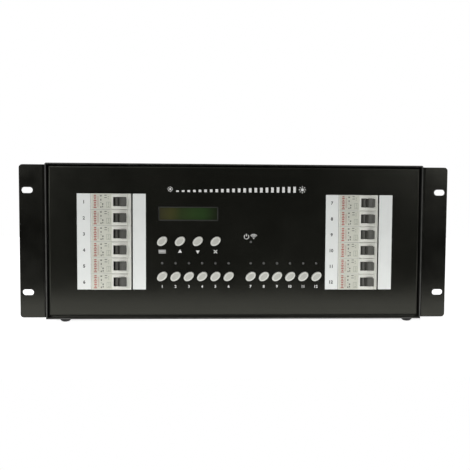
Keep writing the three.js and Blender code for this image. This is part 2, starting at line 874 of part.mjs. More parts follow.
/** The fan frame: square plate with a round bore, and the motor plate on four struts. */
function fanFrameGeometry() {
  const back = rearWallFront - seatGap;
  const front = back - fanDepth;
  const strutFront = back - fanStrutDepth;
  const reach = fanBore / 2 + fanStrutWidth / 2;
  const strutHalf = fanStrutWidth / 2;
  const ring = solid(facing(roundedRectangle(fanX, fanZ, fanSize, fanSize, fanCorner), front, back, 2))
    .subtract(solid(facing(circle(fanX, fanZ, fanBore / 2), front - cutOverrun, back + cutOverrun, 12)));
  const struts = joined([
    block(fanX - reach, fanX + reach, strutFront, back, fanZ - strutHalf, fanZ + strutHalf),
    block(fanX - strutHalf, fanX + strutHalf, strutFront, back, fanZ - reach, fanZ + reach),
    facing(circle(fanX, fanZ, motorRadius), strutFront, back, 8),
  ]);
  const bearing = facing(
    circle(fanX, fanZ, shaftRadius + shaftClearance), strutFront - cutOverrun, back + cutOverrun, 4,
  );
  return geometryOf(ring.add(struts).subtract(solid(bearing)));
}

/** The fan rotor about its own axis: hub, cambered blades and shaft; y = 0 is the hub's rear face. */
function rotorGeometry() {
  const pitch = bladePitch * degree;
  const bladeRoot = rotorHubRadius / 2;
  const chord = (rotorHubDepth - 2 * bladeInset - bladeSheet * Math.sin(pitch)) / Math.cos(pitch);
  const section = new THREE.Shape();
  section.moveTo(-chord / 2, 0);
  section.quadraticCurveTo(0, 2 * bladeCamber, chord / 2, 0);
  section.lineTo(chord / 2, -bladeSheet);
  section.quadraticCurveTo(0, 2 * bladeCamber - bladeSheet, -chord / 2, -bladeSheet);
  const blades = Array.from({ length: bladeCount }, (_, blade) => {
    const made = sideways(section, bladeRoot, rotorTipRadius, 4);
    made.translate(0, 0, bladeSheet / 2 - bladeCamber / 2);
    made.rotateX(pitch);
    made.translate(0, -rotorHubDepth / 2, 0);
    return made.rotateY((fullTurn * blade) / bladeCount);
  });
  const shaftReach = rotorRunningGap + fanStrutDepth;
  return carved([
    facing(circle(0, 0, rotorHubRadius), -rotorHubDepth, 0, 10),
    facing(circle(0, 0, shaftRadius), -rotorHubDepth / 2, shaftReach, 4),
    ...blades,
  ]);
}

/** The hole in the rear wall that a terminal block stands through. */
function terminalCutout(x, z, length, height) {
  const halfLength = length / 2 + terminalClearance;
  const halfHeight = height / 2 + terminalClearance;
  return block(
    x - halfLength, x + halfLength, rearWallFront - cutOverrun, caseDepth + cutOverrun,
    z - halfHeight, z + halfHeight,
  );
}

/** A moulded terminal block: body through the wall, flange behind it, and square wire entries. */
function terminalGeometry(length, height, entries) {
  const back = sheet + terminalProud;
  const body = block(-length / 2, length / 2, -terminalDepth, back, -height / 2, height / 2);
  const flangeHalf = length / 2 + terminalFlange;
  const flangeHeight = height / 2 + terminalFlange;
  const flange = block(
    -flangeHalf, flangeHalf, -seatGap - terminalFlangeDepth, -seatGap, -flangeHeight, flangeHeight,
  );
  const entryDepthShare = 0.6;
  const entryFront = back - entryDepthShare * terminalDepth;
  const pockets = entries.map(({ x, z, side }) => block(
    x - side / 2, x + side / 2, entryFront, back + cutOverrun, z - side / 2, z + side / 2,
  ));
  return carved([body, flange], pockets);
}

/** Two small wire entries for each output pole, one above the other. */
function outputEntries() {
  const rowShare = 0.24;
  const first = -((outputPoleCount - 1) / 2) * outputPolePitch;
  return Array.from({ length: outputPoleCount }, (_, pole) => first + pole * outputPolePitch).flatMap(
    (x) => [-1, 1].map((row) => ({ x, z: row * rowShare * outputHeight, side: outputEntry })),
  );
}

/** One large wire entry for each mains pole. */
function mainsEntries() {
  const dropShare = 0.18;
  const first = -((mainsPoleCount - 1) / 2) * mainsPolePitch;
  return Array.from({ length: mainsPoleCount }, (_, pole) => ({
    x: first + pole * mainsPolePitch,
    z: -dropShare * mainsHeight,
    side: mainsEntry,
  }));
}

/** The control socket board: two round sockets on a small board behind the rear wall. */
function socketBoardGeometry() {
  const plateFront = caseDepth + seatGap;
  const face = plateFront + socketPlateSheet;
  const boardBack = rearWallFront - socketBoardSetback;
  const plateCorner = 3;
  const reach = socketPlateHeight / 2 + socketBoardMargin;
  const right = inletX + socketPlateWidth / 2 + socketBoardMargin;
  const board = block(
    socketBoardLeft, right, boardBack - boardSheet, boardBack, socketZ - reach, socketZ + reach,
  );
  const pieces = [board];
  const bores = [];
  const inside = [];
  for (const x of [outletX, inletX]) {
    const plate = roundedRectangle(x, socketZ, socketPlateWidth, socketPlateHeight, plateCorner);
    const barrel = circle(x, socketZ, socketBarrelRadius);
    const bore = circle(x, socketZ, socketBoreRadius);
    pieces.push(facing(plate, plateFront, face, 2));
    pieces.push(facing(barrel, boardBack - boardSheet / 2, face, 8));
    bores.push(facing(bore, face - socketBoreDepth, face + cutOverrun, 8));
    const floor = face - socketBoreDepth - socketPlateSheet;
    if (x === outletX) {
      const insert = circle(x, socketZ, socketInsertRadius);
      inside.push(facing(insert, floor, face - socketPlateSheet / 2, 8));
    } else {
      for (const turn of [0, 1, 2]) {
        const angle = quarterTurn + (turn * fullTurn) / 3;
        const pinX = x + socketPinCircle * Math.cos(angle);
        const pinZ = socketZ + socketPinCircle * Math.sin(angle);
        const pinTip = floor + socketPlateSheet + socketPinLength;
        inside.push(facing(circle(pinX, pinZ, socketPinRadius), floor, pinTip, 3));
      }
    }
  }
  return geometryOf(joined(pieces).subtract(joined(bores)).add(joined(inside)));
}

// Power parts inside the case

/** The heat sink: extruded section with upright fins, and the power devices on its front flange. */
function sinkGeometry() {
  const bottom = floorTop + seatGap;
  const baseLow = bottom + sinkRise;
  const baseHigh = baseLow + sinkBase;
  const top = baseHigh + sinkFinHeight;
  const half = sinkWidth / 2;
  const step = (sinkDepth - sinkFlange - sinkFinSheet) / sinkFinCount;
  const fins = [];
  for (let fin = 0; fin < sinkFinCount; fin++) {
    const start = sinkFlange + (fin + 1) * step;
    const end = start + sinkFinSheet;
    fins.push([start, baseHigh], [start, top], [end, top], [end, baseHigh]);
  }
  fins.pop();
  const section = outline([
    [0, bottom],
    [sinkFlange, bottom],
    [sinkFlange, baseLow],
    [sinkDepth - sinkFlange, baseLow],
    [sinkDepth - sinkFlange, bottom],
    [sinkDepth, bottom],
    ...fins.reverse(),
    [sinkFlange, baseHigh],
    [sinkFlange, top],
    [0, top],
  ]);
  const devicePitch = sinkWidth / deviceCount;
  const deviceLow = baseHigh + deviceHeight / 2;
  const devices = Array.from({ length: deviceCount }, (_, device) => {
    const x = -half + (device + 1 / 2) * devicePitch;
    return block(
      x - deviceWidth / 2, x + deviceWidth / 2,
      -deviceDepth, sinkFlange / 2,
      deviceLow, deviceLow + deviceHeight,
    );
  });
  return carved([sideways(section, -half, half), ...devices]).translate(0, sinkSetback, 0);
}

/** The choke board: ring chokes lying in rows on a board with four short legs. */
function chokeBoardGeometry() {
  const bottom = floorTop + seatGap;
  const low = bottom + chokeBoardRise;
  const high = low + boardSheet;
  const halfX = (chokeColumns * chokePitch) / 2;
  const legHalf = studRadius;
  const board = block(-halfX, halfX, chokeBoardFront, chokeBoardBack, low, high);
  const chokes = [];
  for (let row = 0; row < chokeRows; row++) {
    for (let column = 0; column < chokeColumns; column++) {
      const ring = new THREE.TorusGeometry(chokeRingRadius, chokeTubeRadius, 5, 7);
      const x = -halfX + (column + 1 / 2) * chokePitch;
      const y = chokeBoardFront + (row + 1 / 2) * chokePitch;
      chokes.push(ring.translate(x, y, high + chokeTubeRadius - boardSheet));
    }
  }
  const legs = [-1, 1].flatMap((across) => [chokeBoardFront, chokeBoardBack].map((edge, end) => {
    const x = across * (halfX - 2 * legHalf);
    const y = edge + (end === 0 ? 2 * legHalf : -2 * legHalf);
    return block(x - legHalf, x + legHalf, y - legHalf, y + legHalf, bottom, high - boardSheet / 2);
  }));
  return carved([board, ...chokes, ...legs]);
}

// Assembly

/** The case: tray, cover, panel, ears and feet. */
function caseGroup() {
  const group = new THREE.Group();
  group.add(piece("chassis_tray", trayGeometry(), blackPaint));
  group.add(piece("top_cover", coverGeometry(), blackPaint));
  group.add(piece("front_panel", panelGeometry(), blackPaint));
  for (const side of ["left", "right"]) {
    group.add(piece(`rack_ear_${side}`, earGeometry(side), blackPaint));
  }
  const foot = footGeometry();
  for (const [side, x] of [["left", footLeftInset - caseHalf], ["right", caseHalf - footRightInset]]) {
    group.add(piece(`foot_front_${side}`, foot, blackRubber, x, footSetback, -seatGap));
    group.add(piece(`foot_rear_${side}`, foot, blackRubber, x, caseDepth - footSetback, -seatGap));
  }
  return group;
}

/** Both breaker columns; channels 1 to 6 are on the left, 7 to 12 on the right. */
function breakerGroup() {
  const group = new THREE.Group();
  const breaker = breakerGeometry();
  const toggle = toggleGeometry();
  const rail = railGeometry();
  columnCentres.forEach(([side, x], index) => {
    group.add(breakerColumn(side, x, 1 + index * breakersPerColumn, breaker, toggle, rail));
  });
  return group;
}

/** Keys, control board and display. */
function controlGroup() {
  const group = new THREE.Group();
  const cap = capGeometry();
  channelX.forEach((x, index) => {
    group.add(piece(`channel_key_${index + 1}`, cap, keyPlastic, x, panelFace, channelRowZ));
  });
  menuX.forEach((x, index) => {
    group.add(piece(`menu_key_${index + 1}`, cap, keyPlastic, x, panelFace, menuRowZ));
  });
  group.add(piece("control_board", controlBoardGeometry(), boardGreen));
  group.add(piece("display_module", displayGeometry(), displayFrame));
  return group;
}

/** Fan, terminals and sockets on the rear wall. */
function rearGroup() {
  const group = new THREE.Group();
  const hubRear = rearWallFront - seatGap - fanStrutDepth - rotorRunningGap;
  const output = terminalGeometry(outputLength, outputHeight, outputEntries());
  const mains = terminalGeometry(mainsLength, mainsHeight, mainsEntries());
  group.add(piece("fan_frame", fanFrameGeometry(), blackPlastic));
  group.add(piece("fan_rotor", rotorGeometry(), blackPlastic, fanX, hubRear, fanZ));
  group.add(piece("output_terminals", output, blackPlastic, outputX, rearWallFront, outputZ));
  group.add(piece("mains_terminals", mains, blackPlastic, mainsX, rearWallFront, mainsZ));
  group.add(piece("socket_board", socketBoardGeometry(), blackPlastic));
  return group;
}

/** Heat sink and chokes on the floor. */
function powerGroup() {
  const group = new THREE.Group();
  group.add(piece("triac_heatsink", sinkGeometry(), rawAluminium));
  group.add(piece("choke_board", chokeBoardGeometry(), chokeWinding));
  return group;
}

const pack = new THREE.Group();
pack.add(caseGroup(), breakerGroup(), controlGroup(), rearGroup(), powerGroup());

// The origin is the middle of the footprint, on the surface that the feet stand on.
const extent = new THREE.Box3().setFromObject(pack);
const middle = extent.getCenter(new THREE.Vector3());
pack.position.set(-middle.x, -middle.y, -extent.min.z);

const dimmerPack = new THREE.Group();
dimmerPack.add(pack);

export default dimmerPack;
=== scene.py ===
"""Looks for a rack dimmer pack with twelve breakers, sixteen keys and a display."""

import enum
import logging
import math
from collections.abc import Callable, Iterable
from dataclasses import dataclass

import bmesh
import bpy
from mathutils import Matrix, Vector


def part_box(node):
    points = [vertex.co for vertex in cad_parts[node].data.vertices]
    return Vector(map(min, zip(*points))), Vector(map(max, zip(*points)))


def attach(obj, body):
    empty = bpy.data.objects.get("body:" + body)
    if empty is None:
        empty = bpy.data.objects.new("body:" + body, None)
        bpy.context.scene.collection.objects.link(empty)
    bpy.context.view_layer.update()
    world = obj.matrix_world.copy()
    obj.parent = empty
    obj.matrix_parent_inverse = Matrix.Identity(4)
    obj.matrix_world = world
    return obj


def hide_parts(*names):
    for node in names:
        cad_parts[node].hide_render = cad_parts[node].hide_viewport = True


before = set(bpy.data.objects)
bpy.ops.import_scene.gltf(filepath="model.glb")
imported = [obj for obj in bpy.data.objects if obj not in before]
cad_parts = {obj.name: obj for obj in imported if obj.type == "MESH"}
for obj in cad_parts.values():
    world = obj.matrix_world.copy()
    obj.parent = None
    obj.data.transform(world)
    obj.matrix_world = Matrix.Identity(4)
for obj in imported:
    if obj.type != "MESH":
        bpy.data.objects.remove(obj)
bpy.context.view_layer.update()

MM = 0.001
FULL_TURN = 2 * math.pi
SHARP_ANGLE = math.radians(40)
DIGIT_SHARE = 0.73
LOG = logging.getLogger("dimmer_pack")

Point = tuple[float, float, float]
Colour = tuple[float, float, float]


def turned(degrees: float, axis: str) -> Matrix:
    """Give a turn about an axis."""
    return Matrix.Rotation(math.radians(degrees), 4, axis)


class Slot(enum.Enum):
    """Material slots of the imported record."""

    CASE = "case_paint"
    PANEL = "panel_paint"
    ZINC = "zinc"
    BREAKER = "breaker_moulding"
    TOGGLE = "toggle_moulding"
    KEY = "key_moulding"
    BOARD = "board"
    DISPLAY = "display"
    PLASTIC = "black_plastic"
    RUBBER = "foot_rubber"
    HEATSINK = "heatsink"
    WINDING = "winding"


class Way(enum.Enum):
    """Ways that a flat shape on the pack can face, in degrees about the upright axis."""

    FRONT = 0
    REAR = 180
    LEFT = -90
    RIGHT = 90

    def turn(self) -> Matrix:
        """Turn a shape that faces up so that it faces this way, upright."""
        return turned(self.value, "Z") @ turned(90, "X")


class Side(enum.Enum):
    """Sides of the pack, as the sign of x."""

    LEFT = -1
    RIGHT = 1


class Rounding(enum.Enum):
    """Parts of a shape that can be rounded."""

    EDGES = "EDGES"
    CORNERS = "VERTICES"


# Finishes


class NodeBench:
    """Adds nodes to one material and wires them."""

    def __init__(self, name: str) -> None:
        """Start a material that holds one surface shader.

        Args:
            name: The material's name.
        """
        self.material = bpy.data.materials.new(name)
        self.material.use_nodes = True
        self.tree = self.material.node_tree
        self.shader = self.tree.nodes["Principled BSDF"]

    def add(self, kind: str, settings: dict | None = None, **values: object) -> bpy.types.Node:
        """Add a node.

        Args:
            kind: The node's type, without its ShaderNode prefix.
            settings: Properties of the node itself.
            values: Input values by name, with _ for a space.

        Returns:
            The new node.
        """
        node = self.tree.nodes.new("ShaderNode" + kind)
        for key, value in (settings or {}).items():
            setattr(node, key, value)
        for key, value in values.items():
            node.inputs[key.replace("_", " ")].default_value = value
        return node

    def wire(self, source: bpy.types.NodeSocket, target: bpy.types.NodeSocket) -> None:
        """Join an output to an input."""
        self.tree.links.new(source, target)

    def place(self, stretch: Point = (1, 1, 1)) -> bpy.types.NodeSocket:
        """Give the piece's own coordinates, in metres, stretched for a grain.

        Args:
            stretch: Scale of the pattern along each axis.

        Returns:
            The socket with the coordinates.
        """
        where = self.add("TexCoord")
        mapping = self.add("Mapping", Scale=stretch)
        self.wire(where.outputs["Object"], mapping.inputs["Vector"])
        return mapping.outputs["Vector"]

    def noise(self, place: bpy.types.NodeSocket, scale: float, detail: float) -> bpy.types.NodeSocket:
        """Add a noise pattern.

        Args:
            place: The coordinates that it follows.
            scale: Cells per metre.
            detail: Octaves of finer noise.

        Returns:
            The socket with the noise, from 0 to 1.
        """
        pattern = self.add("TexNoise", Scale=scale, Detail=detail)
        self.wire(place, pattern.inputs["Vector"])
        return pattern.outputs["Fac"]

    def spread(
        self, source: bpy.types.NodeSocket, low: float, high: float, start: float = 0.3, end: float = 0.7
    ) -> bpy.types.NodeSocket:
        """Map a pattern from one range to another.

        Args:
            source: The pattern.
            low: Result at the start of the pattern's range.
            high: Result at its end.
            start: Start of the pattern's range.
            end: End of the pattern's range.

        Returns:
            The mapped socket.
        """
        mapped = self.add("MapRange", From_Min=start, From_Max=end, To_Min=low, To_Max=high)
        self.wire(source, mapped.inputs["Value"])
        return mapped.outputs["Result"]


def shade(colour: Colour, share: float) -> tuple[float, float, float, float]:
    """Give a colour made lighter or darker by a share, with full alpha."""
    return (*(min(1.0, channel * share) for channel in colour), 1.0)


@dataclass(frozen=True)
class Finish:
    """A surface: its colour, its gloss, and the grain that breaks them up."""

    name: str
    colour: Colour
    roughness: float
    metallic: float = 0.0
    mottle: float = 0.08
    mottle_scale: float = 30.0
    gloss_spread: float = 0.05
    grain_scale: float = 900.0
    grain_height: float = 0.02
    grain_stretch: Point = (1, 1, 1)
    specular: float = 0.5
    gloss_tint: Colour = (1, 1, 1)
    glow: float = 0.0

    def material(self) -> bpy.types.Material:
        """Give the finish's material, made on first use."""
        return bpy.data.materials.get(self.name) or self.build()

    def build(self) -> bpy.types.Material:
        """Build the material's nodes.

        Returns:
            The finished material.
        """
        bench = NodeBench(self.name)
        place = bench.place(self.grain_stretch)
        tone = bench.noise(place, self.mottle_scale, 4)
        grain = bench.noise(place, self.grain_scale, 2)
        bench.wire(self.tint(bench, tone), bench.shader.inputs["Base Color"])
        low = max(0.02, self.roughness - self.gloss_spread)
        gloss = bench.spread(tone, low, self.roughness + self.gloss_spread)
        bench.wire(gloss, bench.shader.inputs["Roughness"])
        bump = bench.add("Bump", Strength=0.35, Distance=self.grain_height * MM)
        bench.wire(grain, bump.inputs["Height"])
        bench.wire(bump.outputs["Normal"], bench.shader.inputs["Normal"])
        bench.shader.inputs["Metallic"].default_value = self.metallic
        bench.shader.inputs["Specular IOR Level"].default_value = self.specular
        bench.shader.inputs["Specular Tint"].default_value = (*self.gloss_tint, 1)
        if self.glow:
            bench.shader.inputs["Emission Color"].default_value = shade(self.colour, 1)
            bench.shader.inputs["Emission Strength"].default_value = self.glow
        return bench.material

    def tint(self, bench: NodeBench, tone: bpy.types.NodeSocket) -> bpy.types.NodeSocket:
        """Colour the surface, a little uneven as real ones are.

        Args:
            bench: The material's nodes.
            tone: The slow noise.

        Returns:
            The colour's socket.
        """
        ramp = bench.add("ValToRGB")
        ramp.color_ramp.elements[0].position = 0.3
        ramp.color_ramp.elements[1].position = 0.7
        ramp.color_ramp.elements[0].color = shade(self.colour, 1 - self.mottle)
        ramp.color_ramp.elements[1].color = shade(self.colour, 1 + self.mottle)
        bench.wire(tone, ramp.inputs["Fac"])
        return ramp.outputs["Color"]


@dataclass(frozen=True)
class GlassFinish(Finish):
    """Dark display glass whose tint runs from one end to the other."""

    left: float = -0.087
    right: float = -0.021
    drift: float = 0.12
    first_stop: float = 0.06
    tints: tuple[Colour, ...] = ()

    def tint(self, bench: NodeBench, tone: bpy.types.NodeSocket) -> bpy.types.NodeSocket:
        """Run the tints from left to right.

        Args:
            bench: The material's nodes.
            tone: The slow noise, which shifts the run a little.

        Returns:
            The colour's socket.
        """
        parts = bench.add("SeparateXYZ")
        bench.wire(bench.place(), parts.inputs["Vector"])
        along = bench.spread(parts.outputs["X"], 0, 1, self.left, self.right)
        shifted = bench.add("Math", {"operation": "MULTIPLY_ADD"})
        shifted.inputs[1].default_value = self.drift
        bench.wire(tone, shifted.inputs[0])
        bench.wire(along, shifted.inputs[2])
        ramp = bench.add("ValToRGB")
        stops = ramp.color_ramp.elements
        while len(stops) < len(self.tints):
            stops.new(0.5)
        for index, (stop, colour) in enumerate(zip(stops, self.tints, strict=True)):
            stop.position = self.first_stop + (1 - self.first_stop) * index / (len(self.tints) - 1)
            stop.color = (*colour, 1)
        bench.wire(shifted.outputs[0], ramp.inputs["Fac"])
        return ramp.outputs["Color"]


WARM_GLOSS = (1, 1, 0.86)
PANEL_PAINT = Finish(
    "panel_satin_black", (0.0074, 0.0076, 0.006), 0.22, mottle=0.12, gloss_spread=0.02,
    specular=0.42, gloss_tint=WARM_GLOSS,
)
BEND_PAINT = Finish(
    "panel_bend_black", (0.0074, 0.0076, 0.006), 0.36, mottle=0.12, gloss_spread=0.02, grain_height=0.003,
    specular=0.34, gloss_tint=WARM_GLOSS,
)
CASE_PAINT = Finish(
    "case_satin_black", (0.0045, 0.0045, 0.0038), 0.21, mottle=0.15, grain_scale=650, grain_height=0.03,
    specular=0.44, gloss_tint=WARM_GLOSS,
)
COVER_PAINT = Finish(
    "cover_powder_black", (0.009, 0.009, 0.0085), 0.42, mottle=0.12, grain_scale=520, grain_height=0.06,
    specular=0.42, gloss_tint=WARM_GLOSS,
)
# Lighter paint for the sheets' front edges: a painted highlight for the light those edges catch.
EDGE_PAINTED_HIGHLIGHT = Finish("case_edge_painted_highlight", (0.038, 0.038, 0.034), 0.4, mottle=0.35, mottle_scale=120)
ZINC = Finish("zinc_plating", (0.5, 0.51, 0.52), 0.36, 0.9, mottle=0.12, mottle_scale=70)
SCREW_STEEL = Finish("screw_black_zinc", (0.035, 0.035, 0.036), 0.32, 0.8, mottle=0.15)
BRIGHT_STEEL = Finish("screw_bright_zinc", (0.55, 0.55, 0.54), 0.3, 0.95, mottle=0.1)
BREAKER_PLASTIC = Finish("breaker_plastic", (0.74, 0.745, 0.68), 0.5, mottle=0.03, grain_scale=1500)
BREAKER_FILM = Finish("breaker_film", (0.6, 0.605, 0.525), 0.45, mottle=0.05, grain_scale=1200)
RED_PRINT = Finish("breaker_red_ticks", (0.4, 0.055, 0.045), 0.5, mottle=0.2)
ROSE_PRINT = Finish("breaker_rose_ticks", (0.42, 0.27, 0.22), 0.5, mottle=0.15)
GREY_PRINT = Finish("breaker_grey_ticks", (0.11, 0.115, 0.1), 0.55, mottle=0.2)
FAINT_PRINT = Finish("breaker_faint_lines", (0.34, 0.36, 0.3), 0.55, mottle=0.1)
LABEL = Finish("label_film", (0.79, 0.81, 0.785), 0.55, mottle=0.025, mottle_scale=60, grain_scale=2000)
INK = Finish("label_ink", (0.03, 0.03, 0.03), 0.5)
WHITE_PRINT = Finish("panel_white_print", (0.8, 0.8, 0.78), 0.5, mottle=0.04)
TOGGLE_PLASTIC = Finish("toggle_plastic", (0.082, 0.082, 0.072), 0.42, mottle=0.1, grain_scale=1800)
KEY_PLASTIC = Finish("key_plastic", (0.69, 0.695, 0.64), 0.28, mottle=0.03, grain_scale=1600)
# The key caps' flat faces are painted darker than their rims.
KEY_FACE = Finish(
    "key_darker_face", (0.505, 0.505, 0.46), 0.45, mottle=0.06, mottle_scale=200, grain_scale=1600,
)
LENS = Finish("lamp_lens", (0.13, 0.13, 0.126), 0.25, mottle=0.1)
BEZEL = Finish("display_frame", (0.05, 0.052, 0.046), 0.42, 0.3, mottle=0.1)
GLASS = GlassFinish(
    "display_glass", (0.02, 0.03, 0.015), 0.16, mottle_scale=40, gloss_spread=0.03, grain_height=0.002,
    tints=(
        (0.042, 0.04, 0.021), (0.055, 0.055, 0.02), (0.028, 0.043, 0.015),
        (0.027, 0.052, 0.016), (0.023, 0.05, 0.015), (0.015, 0.022, 0.01),
    ),
)
CIRCUIT_BOARD = Finish("circuit_board", (0.025, 0.12, 0.045), 0.4, mottle=0.25, mottle_scale=200)
BLACK_PLASTIC = Finish("black_plastic", (0.018, 0.018, 0.019), 0.5, mottle=0.15, grain_scale=1400)
# Near-black paint for the toggle pockets, screw slots and contact holes: painted shade for the shade inside
# them.
PAINTED_SHADE = Finish("painted_shade_recess", (0.004, 0.004, 0.004), 0.8)
RUBBER = Finish("foot_rubber", (0.014, 0.014, 0.013), 0.72, mottle=0.2, grain_scale=1100, grain_height=0.05)
ALUMINIUM = Finish(
    "extruded_aluminium", (0.62, 0.63, 0.64), 0.32, 0.95, grain_scale=700, grain_height=0.03,
    grain_stretch=(0.04, 1, 1),
)
COPPER = Finish("copper_wire", (0.55, 0.21, 0.08), 0.3, 0.9, mottle=0.12)
FERRITE = Finish("choke_ring", (0.42, 0.36, 0.05), 0.55, mottle=0.15)
TABLE = Finish("white_table", (0.9, 0.9, 0.9), 0.6, mottle=0.0, grain_height=0.0, glow=1.02)


# Shaping


@dataclass(frozen=True)
class Datum:
    """Where the case's front edge and underside lie in the pack's frame, in millimetres."""

    front: float
    bottom: float

    @classmethod
    def found(cls) -> "Datum":
        """Read the places from the tray, which reaches the front edge and the underside."""
        low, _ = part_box("chassis_tray")
        return cls(low.y / MM, low.z / MM)

    def shift(self) -> Vector:
        """Give the step from the case's own measures to the pack's frame."""
        return Vector((0, self.front, self.bottom))


DATUM = Datum.found()


def spaced(middle: float, count: int, pitch: float) -> list[float]:
    """Give the places of parts that stand evenly spaced about a middle."""
    return [middle + (index - (count - 1) / 2) * pitch for index in range(count)]


def link(name: str, data: bpy.types.ID) -> bpy.types.Object:
    """Put an object into the scene.

    Args:
        name: Its name.
        data: Its mesh, curve, camera or light.

    Returns:
        The object.
    """
    made = bpy.data.objects.new(name, data)
    bpy.context.scene.collection.objects.link(made)
    return made


def round_off(
    shape: bmesh.types.BMesh, parts: list, width: float, steps: int,
    kind: Rounding = Rounding.EDGES, clamp: bool = False,
) -> None:
    """Round edges or corners of a shape.

    Args:
        shape: The shape.
        parts: Its edges or corners to round.
        width: Width of the rounding.
        steps: Segments across it.
        kind: Whether the parts are edges or corners.
        clamp: Whether the width gives way where two roundings would meet.
    """
    bmesh.ops.bevel(
        shape, geom=parts, offset=width, offset_type="OFFSET", segments=steps, profile=0.5,
        affect=kind.value, clamp_overlap=clamp, material=-1,
    )


def spin(shape: bmesh.types.BMesh, parts: list, steps: int, sweep: float = FULL_TURN) -> dict:
    """Spin corners and lines about the upright axis, and close a full turn.

    Args:
        shape: The shape.
        parts: Its corners and lines to spin.
        steps: Steps along the sweep.
        sweep: How far they go, in radians.

    Returns:
        What was made, by the operator's own names.
    """
    return bmesh.ops.spin(
        shape, geom=parts, cent=(0, 0, 0), axis=(0, 0, 1), dvec=(0, 0, 0), angle=sweep, steps=steps,
        use_merge=sweep == FULL_TURN, use_duplicate=False,
    )


def rectangle(width: float, height: float, corner: float = 0.0) -> bmesh.types.BMesh:
    """Draw a flat rectangle that faces up.

    Args:
        width: Size along x.
        height: Size along y.
        corner: Radius of its corners.

    Returns:
        The flat shape.
    """
    shape = bmesh.new()
    bmesh.ops.create_grid(shape, x_segments=1, y_segments=1, size=0.5)
    bmesh.ops.scale(shape, vec=(width, height, 1), verts=shape.verts)
    if corner:
        round_off(shape, shape.verts[:], corner, steps=5, kind=Rounding.CORNERS)
    return shape


def ellipse(length: float, width: float, sides: int) -> bmesh.types.BMesh:
    """Draw a flat oval that faces up.

    Args:
        length: Size along x.
        width: Size along y.
        sides: Facets round it.

    Returns:
        The flat shape.
    """
    shape = bmesh.new()
    bmesh.ops.create_circle(shape, cap_ends=True, radius=0.5, segments=sides)
    bmesh.ops.scale(shape, vec=(length, width, 1), verts=shape.verts)
    return shape


def raise_up(shape: bmesh.types.BMesh, rise: float, edge: float = 0.0, steps: int = 2) -> None:
    """Raise a flat shape into a closed one with a softened top edge.

    Args:
        shape: The flat shape, which faces up.
        rise: How far it comes up.
        edge: Width of the softened edge, or 0.
        steps: Segments across that edge.
    """
    out = bmesh.ops.extrude_face_region(shape, geom=shape.faces[:], use_keep_orig=True)
    top = [part for part in out["geom"] if isinstance(part, bmesh.types.BMVert)]
    bmesh.ops.translate(shape, vec=(0, 0, rise), verts=top)
    if edge:
        rim = [e for e in shape.edges if all(abs(v.co.z - rise) < 1e-5 for v in e.verts)]
        round_off(shape, rim, edge, steps)


